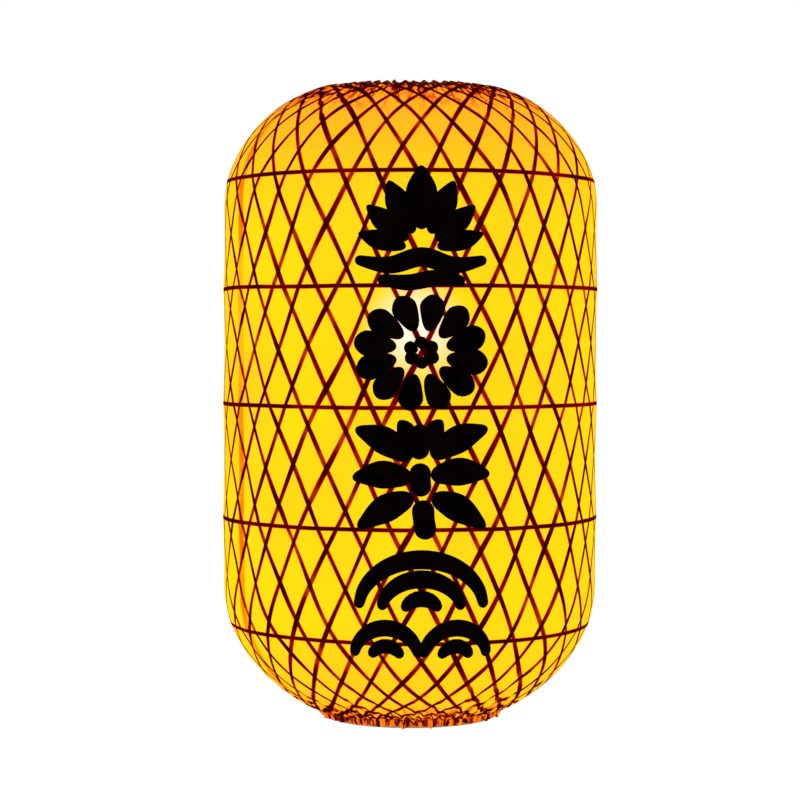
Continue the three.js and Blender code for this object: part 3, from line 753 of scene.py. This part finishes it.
CAP_METAL = hard_finish("rolled cap metal", (0.80, 0.80, 0.78), (0.5, 0.5, 0.48), (0.2, 0.35),
                        metallic=1.0, scale=400.0)
BLACK_PLASTIC = hard_finish("moulded black plastic", (0.022, 0.021, 0.02), (0.06, 0.058, 0.055),
                            (0.38, 0.55), scale=400.0, scratch=0.2)
WHITE_PLASTIC = hard_finish("white bulb housing", (0.86, 0.85, 0.81), (0.70, 0.67, 0.60), (0.3, 0.42),
                            scale=250.0, scratch=0.08)
OPAL = glowing_opal()

# ------ cloth cover
PLEAT_SIZES = [random.uniform(0.55, 1.25) for _ in range(PLEATS)]
PLEAT_REACH = [random.uniform(40, 125) * MM for _ in range(PLEATS)]
PLEAT_SHIFT = [random.uniform(-0.28, 0.28) for _ in range(PLEATS)]
PLEAT_DEPTH = 1.5 * MM
ROLL_RADIUS = 3.9 * MM
ROLL_START = math.radians(78)
ROLL_TURN = math.radians(160)


def cloth_rows(by_hoop=2.4 * MM, mouth_step=4 * MM, barrel_step=8.5 * MM):
    """Runs of the cloth's rows, closer together at the mouths and on both sides of each hoop."""
    hoops = [run_at_height(level - MIDDLE) for level in HOOP_LEVELS][::-1]
    stops = [0.0] + hoops + [MERIDIAN_LENGTH]
    last = len(stops) - 2
    rows = []
    for i, (low, high) in enumerate(zip(stops, stops[1:])):
        start = low if i == 0 else low + by_hoop
        end = high if i == last else high - by_hoop
        count = round((end - start) / (mouth_step if i in (0, last) else barrel_step))
        rows += [start + (end - start) * k / count for k in range(count + 1)]
        if i < last:
            rows.append(high)
    return rows


def pleat(angle, from_mouth, side):
    """Height of the gathers: -1 in a fold, +1 on a crest, fading out away from the mouth. The
    bottom mouth has the same pleats in another order, a third of a pleat further round."""
    turns = (angle / TURN * PLEATS + (0.37 if side < 0 else 0)) % PLEATS
    number = int(turns)
    share = turns - number
    index = (number * 7 + 3) % PLEATS if side < 0 else number
    bend = share + PLEAT_SHIFT[index] * math.sin(math.pi * share) ** 2
    fade = 1 - smooth(0, PLEAT_REACH[index], from_mouth)
    return -PLEAT_SIZES[index] * fade ** 1.4 * math.cos(TURN * bend)


def rolled_hem(share, angle):
    """The top edge, rolled over the ring; it stops short over the bar's two ends."""
    start = MERIDIAN[-1]
    from_bar = math.degrees(math.acos(min(1, abs(math.sin(angle)))))
    shortest = 0.42
    reach = shortest + (1 - shortest) * smooth(6, 12, from_bar)
    bend = ROLL_START + ROLL_TURN * share * reach
    out, up = math.cos(bend), math.sin(bend)
    return Spot(start.radius + ROLL_RADIUS * (out - 0.9), start.height + ROLL_RADIUS * (up - 0.62),
                out, up, start.turn)


def hanging_hem(share, angle):
    """The bottom edge, a short ragged collar outside the ring."""
    start = MERIDIAN[0]
    ragged = (1.5 + 0.8 * math.sin(23 * angle) + 0.6 * math.sin(41 * angle + 1)) * MM
    foot = BOTTOM_RING_FOOT - MIDDLE + ragged
    lean = 1.2 * MM * share ** 2
    return Spot(start.radius - lean, start.height + (foot - start.height) * share, 0.98, -0.2,
                start.turn)


def lattice_place(spot, angle, run, wave):
    """Where a point of the cloth lies in both families of strips, counted in strips, and the gap
    between strips there in millimetres. The gathers draw the lattice's shadow with them."""
    drawn = 0.13 * wave
    first, second = (
        (angle - LATTICE_START - offset - family * spot.turn - waver(angle, run, family)) / STRIP_SPACING
        for family, offset in ((1, 0), (-1, STRIP_SPACING / 2)))
    lean = math.sqrt(max(0.02, 1 - (TURNING_RADIUS / spot.radius) ** 2))
    return first + drawn, second - 0.8 * drawn, STRIP_SPACING * spot.radius * lean / MM


def cloth_cover(hem_steps=5):
    """One gathered sheet from mouth to mouth, closed by a lap that lies over its first columns."""
    columns = PLEATS * COLUMNS_PER_PLEAT
    width = columns + 1 + LAP_COLUMNS
    levels = [("bottom", 1 - k / hem_steps) for k in range(hem_steps)]
    levels += [("body", run) for run in cloth_rows()]
    levels += [("top", (k + 1) / hem_steps) for k in range(hem_steps)]
    vertices, lattice, folds, weave = [], [], [], []
    for part, value in levels:
        for c in range(width):
            angle = SEAM_ANGLE + TURN * c / columns
            if part == "body":
                spot, run, inward = meridian(value), value, min(value, MERIDIAN_LENGTH - value)
                side = 1 if value > MERIDIAN_LENGTH / 2 else -1
            elif part == "top":
                spot, run, side = rolled_hem(value, angle), MERIDIAN_LENGTH + value * HEM_LENGTH, 1
            else:
                spot, run, side = hanging_hem(value, angle), -value * HEM_LENGTH, -1
            if part != "body":
                inward = -HEM_LENGTH * value
            wave = pleat(angle, max(inward, 0), side)
            outward_share = {"top": 0.1, "body": 0.1 if side > 0 else 0.2, "bottom": 1.0}[part]
            lift = PLEAT_DEPTH * (wave + outward_share * abs(wave))
            lift += smooth(columns - 3, columns, c) * 0.6 * MM
            if part == "body":
                lift += bulge(angle, run) + hoop_draw(spot) * smooth(0, 60 * MM, inward)
            vertices.append(spot_point(spot, angle, lift))
            lattice.append(lattice_place(spot, angle, run, wave))
            in_lap = 1.0 if c >= columns or c <= LAP_COLUMNS else 0.0
            folds.append((wave, in_lap, inward / MM))
            weave.append((angle * BARREL_RADIUS / MM, run / MM, 0.0))
    faces = [(r * width + c, r * width + c + 1, (r + 1) * width + c + 1, (r + 1) * width + c)
             for r in range(len(levels) - 1) for c in range(width - 1)]
    cover = new_piece("cloth_cover", vertices, faces, CLOTH, "lantern")
    write_attribute(cover, "lattice_place", lattice)
    write_attribute(cover, "cloth_fold", folds)
    write_attribute(cover, "weave_place", weave)
    thickness = cover.modifiers.new("cloth thickness", "SOLIDIFY")
    thickness.thickness = CLOTH_THICK
    thickness.offset = -1
    take_place("cloth_skin")


# ------ bamboo cage
def strip_clearance(run):
    """Near the mouths the strips lie deeper, clear of the pleats."""
    return MOUTH_CLEARANCE * (1 - smooth(0, CLEARANCE_REACH, min(run, MERIDIAN_LENGTH - run)))


def woven_leg(number, family, steps=96):
    """Stations of one leg from the bottom mouth up, over and under the other family's strips;
    then the angle and the spot that it ends at."""
    stations = []
    top_turn = ((FOLD_STRIPS - 0.5) * STRIP_SPACING - FOLD_ANGLE) / 2
    last = min((s for s in MERIDIAN if s.height > 0), key=lambda s: abs(-s.turn - top_turn)).run
    shift = 0 if family > 0 else 0.5
    for i in range(steps + 1):
        run = STRIP_START + (last - STRIP_START) * i / steps
        spot = meridian(run)
        angle = LATTICE_START + STRIP_SPACING * (number + shift) + family * spot.turn
        angle += waver(angle, run, family)
        other = (angle - LATTICE_START - STRIP_SPACING * (0.5 - shift) + family * spot.turn) / STRIP_SPACING
        crossing = math.cos(math.pi * (other + number)) * family
        calm = smooth(0, 40 * MM, last - run)
        depth = WEAVE_DEPTH + strip_clearance(run)
        depth -= WEAVE_SWING * (crossing * calm + family * (1 - calm))
        radius, height = spot.inset(depth - bulge(angle, run))
        normal = place(spot.out, angle, spot.up - MIDDLE) * family
        stations.append((place(radius, angle, height), normal, 1.0))
    return stations, angle, spot


def bamboo_strip(index):
    """A strip goes up as one family, folds over at the top mouth, and comes down as the other."""
    up, up_angle, spot = woven_leg(index, 1)
    down, down_angle, _ = woven_leg(index - FOLD_STRIPS, -1)
    down_angle += TURN * round((up_angle - down_angle) / TURN)
    fold = []
    for share in (0.25, 0.5, 0.75):
        lean = math.pi * share
        angle = up_angle + (down_angle - up_angle) * share
        depth = WEAVE_DEPTH + strip_clearance(spot.run) - WEAVE_SWING * math.cos(lean)
        radius, height = spot.inset(depth)
        normal = place(-math.sin(lean), angle, math.cos(lean) - MIDDLE)
        fold.append((place(radius - WEAVE_SWING * math.sin(lean), angle, height), normal, 1.0))
    number = f"{index + 1:02d}"
    band_piece(f"bamboo_strip_{number}", up + fold + down[::-1], STRIP_WIDTH, STRIP_THICK, STRIP_BAMBOO,
               f"strip_{number}")


def bent_band(name, node, material, start, thick, segments=180, lap=math.radians(16)):
    """A band bent to a circle with its thinned ends lapped, in the space of a CAD hoop or ring."""
    edge, foot, top = extent(node)
    thinnest = 0.35
    stations = []
    for i in range(segments + 1):
        travelled = i / segments * (TURN + lap)
        rise = smooth(TURN - lap, TURN + lap * 0.3, travelled)
        scarf = min(smooth(-lap, lap, travelled), smooth(-lap, lap, TURN + lap - travelled))
        scale = thinnest + (1 - thinnest) * scarf
        radius = edge - thick * (1 - scale * 0.5) + thick * (1 - scale) * rise
        angle = start + travelled
        centre = place(radius, angle, middle_of(node) - MIDDLE)
        stations.append((centre, place(1, angle, -MIDDLE), scale))
    band_piece(name, stations, top - foot, thick, material, node)


def lashing(name, node, angle, thick=1.8 * MM, turns=9, steps=20):
    """Thread wound tightly round a band's lapped ends."""
    edge, foot, top = extent(node)
    radius = edge - thick / 2
    half_height, half_depth = (top - foot) / 2 + 0.35 * MM, thick / 2 + 0.35 * MM
    wire, pitch, squareness = 0.33 * MM, 0.75 * MM, 1.25
    path = []
    for i in range(turns * steps + 1):
        around = TURN * i / steps
        along = angle + (i / (turns * steps) - 0.5) * turns * pitch / radius
        side, face = (max(-1, min(1, squareness * way(around))) for way in (math.cos, math.sin))
        path.append(place(radius + half_depth * side, along,
                          middle_of(node) - MIDDLE + half_height * face))
    piece = new_piece(name, *tube_mesh(path, wire, sides=8), THREAD, "lantern")
    face_outwards(piece)


def bamboo_cage():
    for index in range(STRIP_COUNT):
        bamboo_strip(index)
    for i, node in enumerate(HOOP_NAMES):
        start = 150 + 47 * i
        bent_band(f"bamboo_{node}", node, HOOP_BAMBOO, math.radians(start), HOOP_THICK)
        for letter, further in (("a", 3), ("b", 13)):
            lashing(f"{node}_lashing_{letter}", node, math.radians(start) + math.radians(further))
    for node, start in (("top_ring", 130), ("bottom_ring", 200)):
        bent_band(f"{node}_band", node, RING_BAMBOO, math.radians(start), RING_THICK)


# ------ brush motifs
# A stroke is (points, half widths), in millimetres from its motif's centre.
MOTIF_ANGLE = math.radians(3)
COAT_TOP, COAT_STEP, COAT_FOOT = 0.36 * MM, 0.02 * MM, 0.06 * MM


def curve_through(points, steps=24):
    """Points of a smooth curve through the given ones."""
    ends = [points[0] * 2 - points[1]] + points + [points[-1] * 2 - points[-2]]
    result = []
    for i in range(len(points) - 1):
        a, b, c, d = ends[i:i + 4]
        for k in range(steps):
            t = k / steps
            result.append(0.5 * (2 * b + (c - a) * t + (2 * a - 5 * b + 4 * c - d) * t * t
                                 + (3 * b - a - 3 * c + d) * t ** 3))
    return result + [points[-1]]


def brush_stroke(points, widths, columns=8, step=2.5):
    """Rows of flat points across a stroke with rounded ends."""
    fine = curve_through([Vector((x, y, w)) for (x, y), w in zip(points, widths)])
    lengths = [0.0]
    for before, after in zip(fine, fine[1:]):
        lengths.append(lengths[-1] + (after.xy - before.xy).length)
    total = lengths[-1]
    count = max(8, round(total / step))
    rows = []
    for i in range(count + 1):
        target = total * (0.5 - 0.5 * math.cos(math.pi * i / count))
        k = min(len(fine) - 2, max(j for j, length in enumerate(lengths) if length <= target))
        span = lengths[k + 1] - lengths[k] or 1
        here = fine[k].lerp(fine[k + 1], (target - lengths[k]) / span)
        along = (fine[k + 1].xy - fine[k].xy).normalized()
        across = Vector((-along.y, along.x))
        to_end = min(1, min(target, total - target) / max(here.z, 1))
        half = here.z * math.sqrt(max(0.0016, 1 - (1 - to_end) ** 2))
        rows.append([here.xy + across * half * (2 * c / columns - 1) for c in range(columns + 1)])
    return rows


def paint_on_cloth(rows, height, layer):
    """A thin closed coat of paint on the curved cloth; later strokes lie higher."""
    base_run = run_at_height(height)
    vertices, faces = [], []
    columns, last = len(rows[0]), len(rows) - 1
    for lift in (COAT_TOP + COAT_STEP * layer, COAT_FOOT):
        for point in (point for row in rows for point in row):
            run = base_run + point.y * MM
            spot = meridian(run)
            angle = MOTIF_ANGLE + point.x * MM / (0.35 * BARREL_RADIUS + 0.65 * spot.radius)
            vertices.append(spot_point(spot, angle, lift + hoop_draw(spot) + bulge(angle, run)))
    under = len(rows) * columns
    for r in range(last):
        for a in range(r * columns, (r + 1) * columns - 1):
            faces.append((a, a + 1, a + columns + 1, a + columns))
            faces.append((under + a, under + a + columns, under + a + columns + 1, under + a + 1))
    rim = list(range(columns)) + [r * columns + columns - 1 for r in range(1, last + 1)]
    rim += [last * columns + c for c in range(columns - 2, -1, -1)]
    rim += [r * columns for r in range(last - 1, 0, -1)]
    for a, b in zip(rim, rim[1:] + rim[:1]):
        faces.append((a, under + a, under + b, b))
    return vertices, faces


def polar(centre, radius, degrees, stretch=1.18):
    angle = math.radians(degrees)
    return centre[0] + stretch * radius * math.cos(angle), centre[1] + radius * math.sin(angle)


def petal(shape, centre, inner, outer, degrees, half, lean, stretch=1.18):
    """A stroke away from a centre. The shape gives (share of the way, share of the half width)."""
    points = [polar(centre, inner + (outer - inner) * share, degrees + lean * share, stretch)
              for share, _ in shape]
    return points, [half * width for _, width in shape]


def lotus():
    pointed = [(0.24, 0.42), (0.5, 0.95), (0.74, 1.0), (1.0, 0.2)]
    fan = [(90, 73, 13.0), (62, 66, 10.6), (118, 66, 10.6), (35, 61, 9.2), (145, 61, 9.2),
           (10, 57, 8.0), (170, 57, 8.0)]
    strokes = [petal(pointed, (0, -22), 0, length, degrees, half,
                     5 * math.cos(math.radians(degrees)), 1.0) for degrees, length, half in fan]
    leaf = [(-58, -30), (-28, -35), (0, -28), (28, -35), (58, -30)], [4, 7.5, 8.5, 7.5, 4]
    water = [(-38, -47), (-12, -50), (14, -46), (38, -49)], [4.5, 7, 7, 4.5]
    return strokes + [leaf, water]


def chrysanthemum():
    rounded = [(0.0, 0.36), (0.35, 0.78), (0.7, 1.0), (1.0, 0.72)]
    strokes = [petal(rounded, (0, 0), 19, 51, 15 + 30 * k, 11.2, 5) for k in range(12)]
    return strokes + [petal(rounded, (0, 0), 3, 14, 30 + 60 * k, 6.4, 6) for k in range(6)]


def bamboo_spray():
    strokes = [([(5, -52), (2, -35), (1, -18)], [10, 9.5, 10.5]),
               ([(0, -15), (-1, 0), (-1, 14)], [10, 9, 10]),
               ([(-2, 17), (-2, 32), (-1, 48)], [9.5, 8.5, 6.5])]
    leaves = [(-8, 18, 150, 60), (-8, 1, 180, 55), (-7, -15, 212, 60), (8, 20, 28, 60),
              (8, 3, 1, 55), (9, -15, -33, 59), (-7, 26, 114, 32), (6, 28, 66, 30)]
    long_leaf = 35
    for x, y, degrees, length in leaves:
        angle = math.radians(degrees)
        tip = (x + length * 0.96 * math.cos(angle), y + length * 0.85 * math.sin(angle))
        droop = (x + 0.5 * (tip[0] - x), y + 0.5 * (tip[1] - y) + 3)
        strokes.append(([(x, y), droop, tip], [6.5, 12.2 if length > long_leaf else 8.5, 3.4]))
    return strokes


def wave_arc(centre, radius, half, stretch):
    """A stroke along the upper half of a circle, thin at both ends."""
    shares = [k / 8 for k in range(9)]
    points = [polar(centre, radius, 176 - 172 * share, stretch) for share in shares]
    return points, [half * (0.6 + 0.5 * math.sin(math.pi * share)) for share in shares]


def waves():
    strokes = [wave_arc((0, -6), radius, half, 1.22) for radius, half in ((46, 7.6), (29, 7.2), (12, 6.6))]
    for side in (-1, 1):
        strokes += [wave_arc((31 * side, -50), radius, half, 0.98) for radius, half in ((30, 7.0), (13, 6.6))]
    return strokes


def brush_motifs():
    for design, height in ((lotus, 158), (chrysanthemum, 48), (bamboo_spray, -62), (waves, -171)):
        mesh = join_meshes([paint_on_cloth(brush_stroke(*stroke), height * MM, i)
                            for i, stroke in enumerate(design())])
        piece = solid(f"painted_{design.__name__}", mesh, PAINT, "lantern", crease=40)


# ------ hanging gear
SHANK_RADIUS = 2.4 * MM
NUT_RADIUS = 5.75 * MM
NUT_TALL = 6.8 * MM
NUT_BORE = 2.75 * MM
NUT_BORE_MOUTH = 2.9 * MM
WASHER_EASE = 0.25 * MM


def loop_mesh(radius, wire, level, sideways, steps=72):
    """A wire loop that stands upright on the lantern's axis and reaches out along sideways."""
    path = []
    for i in range(steps):
        angle = TURN * i / steps
        path.append(Vector(sideways) * radius * math.cos(angle)
                    + Vector((0, 0, level + radius * math.sin(angle))))
    return tube_mesh(path, wire, closed=True)


def eased_cylinder(radius, low, high, ease=0.35 * MM):
    return turned_mesh([(0, low), (radius - ease, low), (radius, low + ease), (radius, high - ease),
                        (radius - ease, high), (0, high)])


def hexagon(radius, angle, height):
    """Pulls the nut's outside in to six flats."""
    if radius < NUT_BORE_MOUTH + MM:
        return 0
    sixth = math.pi / 6
    return NUT_RADIUS * (math.cos(sixth) / math.cos((angle + sixth) % (2 * sixth) - sixth) - 1)


def hanging_gear():
    low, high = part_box("hanging_ring")
    wire = (high[0] - low[0]) / 2
    ring = loop_mesh((high[2] - low[2]) / 2 - wire, wire, middle_of("hanging_ring"), (0, 1, 0))
    solid("wire_hanging_ring", ring, ZINC, "hanger", "hanging_ring")

    low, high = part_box("swivel_eye")
    eye = (high[0] - low[0]) / 2 - wire
    eye_level = high[2] - wire - eye
    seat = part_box("upper_washer")[1][2] + 0.3 * MM
    bolt = solid("eye_bolt", loop_mesh(eye, wire, eye_level, (1, 0, 0)), ZINC, "swivel")
    collar = solid("bolt_collar", eased_cylinder(high[1], seat, eye_level - eye), ZINC, "swivel")
    shank = solid("bolt_shank", eased_cylinder(SHANK_RADIUS, low[2], seat + 0.5 * MM), ZINC, "swivel")
    unite(bolt, collar, shank)
    take_place("swivel_eye")

    low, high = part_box("lower_eye_nut")
    foot, top, ease = high[2] - NUT_TALL, high[2], 0.4 * MM
    rim = NUT_RADIUS - 0.6 * MM
    profile = [(0, foot), (rim, foot), (NUT_RADIUS, foot + ease), (NUT_RADIUS, top - ease), (rim, top),
               (NUT_BORE_MOUTH, top), (NUT_BORE, foot + 2 * MM), (0, foot + 2 * MM)]
    nut = solid("eye_nut", turned_mesh(profile, 72, hexagon), ZINC, "swivel")
    lower_eye = loop_mesh(eye, wire, low[2] + wire + eye, (0, 1, 0))
    unite(nut, solid("nut_eye", lower_eye, ZINC, "swivel"))
    take_place("lower_eye_nut")

    for node in ("upper_washer", "lower_washer"):
        rim, foot, top = extent(node)
        ease = WASHER_EASE
        profile = [(NUT_BORE, foot), (rim - ease, foot), (rim, foot + ease), (rim, top - ease),
                   (rim - ease, top), (NUT_BORE, top)]
        turned(f"brass_{node}", profile, BRASS, "swivel", node)


def plated_parts():
    """These keep their made shape, with eased edges and a zinc finish."""
    for node, ease in (("cross_bar", 0.35), ("bar_rivet_left", 0.35), ("bar_rivet_right", 0.35),
                       ("holder_collar", 0.3)):
        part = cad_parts[node]
        for slot in part.material_slots:
            slot.material = ZINC
        edge = part.modifiers.new("eased edges", "BEVEL")
        edge.width = ease * MM
        edge.segments = 2
        edge.limit_method = "ANGLE"
        edge.angle_limit = math.radians(40)


# ------ lamp holder and bulb
def lamp_yoke(bend=12 * MM, leg_steps=12, bend_steps=16):
    """A wire bow: up one leg, round a bend, across, round the other bend and down."""
    low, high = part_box("lamp_yoke")
    wire = (high[1] - low[1]) / 2
    half, top, foot = high[0] - wire, high[2] - wire, low[2]
    leg = top - bend - foot
    path = [Vector((-half, 0, foot + leg * k / leg_steps)) for k in range(leg_steps)]
    for side in (-1, 1):
        upright, corner, level = (Vector((side * half, 0, top - bend)), Vector((side * half, 0, top)),
                                  Vector((side * (half - bend), 0, top)))
        for k in range(bend_steps + 1):
            share = k / bend_steps if side < 0 else 1 - k / bend_steps
            path.append(upright * (1 - share) ** 2 + corner * 2 * share * (1 - share)
                        + level * share ** 2)
    path += [Vector((half, 0, top - bend - leg * k / leg_steps)) for k in range(1, leg_steps + 1)]
    solid("wire_yoke", tube_mesh(path, wire, sides=20), ZINC, "lamp", "lamp_yoke")


def grip_body():
    """The holder's body: a bored cylinder with a ribbed grip."""
    radius, mouth, top = extent("holder_body")
    bore, roof = 15.5 * MM, top - 10 * MM
    grip_low, grip_high = mouth + 5 * MM, mouth + 28 * MM
    groove, ribs = 0.5 * MM, 36

    def grip(r, angle, height):
        ribbed = r > bore + 2 * MM and grip_low < height < grip_high
        return -groove * (0.5 + 0.5 * math.cos(ribs * angle)) if ribbed else 0

    profile = [(0, roof), (bore, roof), (bore, mouth), (radius - 2 * MM, mouth),
               (radius - 0.4 * MM, mouth + 1.6 * MM), (radius, mouth + 2.4 * MM),
               (radius, grip_low - 0.2 * MM), (radius, grip_low + 0.3 * MM),
               (radius, (grip_low + grip_high) / 2), (radius, grip_high - 0.3 * MM),
               (radius, grip_high + 0.2 * MM), (radius, top - 0.5 * MM), (radius - 0.5 * MM, top),
               (0, top)]
    turned("holder_grip_body", profile, BLACK_PLASTIC, "lamp", "holder_body",
           8 * ribs, grip)


def dome_arc(radius, tall, base, steps=14, end=math.radians(76)):
    angles = [end * k / steps for k in range(steps + 1)]
    return [(radius * math.cos(angle), base + tall * math.sin(angle)) for angle in angles]


def rolled_thread(depth, foot, top, fade_out, sunk=0):
    """The ripple of a thread that fades out at both ends; sunk by 1, it only goes inwards."""
    def thread(_, angle, height):
        fade = smooth(0, fade_out, height - foot) * smooth(0, fade_out, top - height)
        return depth * fade * (math.cos(TURN * height / THREAD_PITCH - angle) - sunk)
    return thread


def threaded_shell(rows=64):
    """A thin brass tube with a true rolled thread."""
    radius, foot, top = extent("screw_shell")
    sheet = 0.35 * MM
    levels = [foot + (top - foot) * r / rows for r in range(rows + 1)]
    middle = radius - sheet
    profile = [(middle + sheet / 2, z) for z in levels] + [(middle - sheet / 2, z) for z in levels[::-1]]
    turned("threaded_shell", profile, BRASS, "lamp", "screw_shell", 72,
           rolled_thread(0.3 * MM, foot, top, 2 * MM))


def lamp_holder():
    grip_body()

    radius, base, top = extent("holder_cap")
    tall, wall, hole = top - base, 2 * MM, 4 * MM
    profile = dome_arc(radius, tall, base) + [(hole, base + tall), (hole, base + tall - wall)]
    profile += dome_arc(radius - wall, tall - wall, base)[::-1]
    turned("holder_dome", profile, BLACK_PLASTIC, "lamp", "holder_cap")

    flange, foot, top = extent("cord_inlet")
    bore = 3.2 * MM
    profile = [(bore, foot), (flange - 0.3 * MM, foot), (flange, foot + 0.3 * MM),
               (flange, foot + 2.6 * MM), (flange - 0.5 * MM, foot + 3.2 * MM),
               (5.8 * MM, foot + 4.4 * MM), (5.3 * MM, top - 1 * MM), (4.8 * MM, top - 0.3 * MM),
               (4.3 * MM, top), (bore + 0.2 * MM, top), (bore, top - 0.3 * MM)]
    turned("cord_inlet_bush", profile, BLACK_PLASTIC, "lamp", "cord_inlet")

    threaded_shell()

    radius, foot, top = extent("holder_contact")
    profile = [(0, foot), (3.2 * MM, foot), (4.2 * MM, foot + 0.5 * MM), (radius, foot + 1.2 * MM),
               (radius, top), (0, top)]
    turned("centre_contact", profile, BRASS, "lamp", "holder_contact", 64)


def bulb(thread_rows=60, neck_steps=20, globe_steps=30):
    radius, foot, top = extent("bulb_cap")
    thread_top = top - 2 * MM
    profile = [(0, foot)]
    profile += [(radius, foot + (thread_top - foot) * k / thread_rows) for k in range(thread_rows + 1)]
    profile += [(radius - 1.2 * MM, top - 0.7 * MM), (11 * MM, top), (0, top)]
    turned("threaded_cap", profile, CAP_METAL, "bulb_cap", "bulb_cap", 72,
           rolled_thread(0.42 * MM, foot, thread_top, 2.5 * MM, 1))

    _, foot, top = extent("bulb_foot")
    rim = 10.5 * MM
    profile = [(0, foot), (rim, foot), (rim, foot + 0.8 * MM), (5 * MM, top - 1 * MM),
               (4.6 * MM, top - 0.4 * MM), (3.6 * MM, top), (0, top)]
    turned("cap_insulator", profile, BLACK_PLASTIC, "bulb_cap", "bulb_foot", 72)

    wide, base, top = extent("bulb_housing")
    neck, ease = 13.6 * MM, 0.4 * MM
    profile = [(0, base), (wide - ease, base)]
    for share in (k / neck_steps for k in range(neck_steps + 1)):
        radius = wide + (neck - wide) * (0.5 - 0.5 * math.cos(math.pi * share ** 0.9))
        profile.append((radius, base + ease + (top - base - 2 * ease) * share))
    profile += [(neck - ease, top), (0, top)]
    turned("tapered_housing", profile, WHITE_PLASTIC, "bulb", "bulb_housing")

    _, foot, top = extent("bulb_globe")
    quarter = math.pi / 2
    last = math.asin(min(1, (top - BULB_LEVEL) / GLOBE_RADIUS))
    angles = [-quarter + (last + quarter) * k / globe_steps for k in range(1, globe_steps + 1)]
    profile = [(0, foot)] + [(GLOBE_RADIUS * math.cos(angle), BULB_LEVEL + GLOBE_RADIUS * math.sin(angle))
                             for angle in angles] + [(0, top)]
    turned("opal_globe", profile, OPAL, "bulb", "bulb_globe")


# ------ floor, light and camera
FLOOR_LEVEL = CAD_BOX[0][2] - 2.2
FLOOR_HALF = 30.0
AIR_LIGHT, AIR_SEEN = 0.45, 1.0
KEY_PLACE = Vector((-1.6, -1.8, MIDDLE + 1.3))
EYE_PLACE = Vector((-9.4 * MM, -12 * BARREL_RADIUS, MIDDLE + 62 * MM))
EYE_AIM = Vector((-9.4 * MM, 0, MIDDLE + 2 * MM))


def set_up(name, data, location, aim):
    """An object with its -Z axis turned to the aim."""
    item = bpy.data.objects.new(name, data)
    item.location = location
    item.rotation_euler = (aim - location).to_track_quat("-Z", "Y").to_euler()
    bpy.context.scene.collection.objects.link(item)
    return item


def studio():
    mesh = bpy.data.meshes.new("studio_floor")
    corners = [(x * FLOOR_HALF, y * FLOOR_HALF, FLOOR_LEVEL) for x, y in ((-1, -1), (1, -1), (1, 1), (-1, 1))]
    mesh.from_pydata(corners, [], [(0, 1, 2, 3)])
    floor = bpy.data.objects.new("studio_floor", mesh)
    bpy.context.scene.collection.objects.link(floor)
    material, g, shader = new_material("pale floor", Roughness=0.9, Emission_Strength=0.64,
                                       Emission_Color=(1, 1, 1, 1))
    tone = g.noise(g.object_place(), 0.6)
    g.put(shader["Base Color"], g.ramp(tone, (0.3, (0.80, 0.80, 0.80)), (0.7, (0.84, 0.84, 0.84))))
    mesh.materials.append(material)

    world = bpy.data.worlds.new("studio air")
    bpy.context.scene.world = world
    world.use_nodes = True
    g = Graph(world.node_tree)
    background = next(n for n in g.nodes if n.type == "BACKGROUND").inputs
    seen = g.nodes.new("ShaderNodeLightPath").outputs["Is Camera Ray"]
    g.put(background["Strength"], g.line(seen, AIR_SEEN - AIR_LIGHT, AIR_LIGHT))
    g.put(background["Color"], (1, 1, 1, 1))

    key = bpy.data.lights.new("soft key", "AREA")
    key.energy = 14
    key.size = 1.6
    set_up("soft key", key, KEY_PLACE, Vector((0, 0, MIDDLE)))
    bpy.context.scene.view_settings.view_transform = "Standard"
    bpy.context.scene.view_settings.look = "None"


def camera():
    lens = bpy.data.cameras.new("camera")
    lens.sensor_width = 36
    lens.lens = 100.6
    bpy.context.scene.camera = set_up("camera", lens, EYE_PLACE, EYE_AIM)


camera()
studio()
cloth_cover()
bamboo_cage()
brush_motifs()
hanging_gear()
plated_parts()
lamp_yoke()
lamp_holder()
bulb()
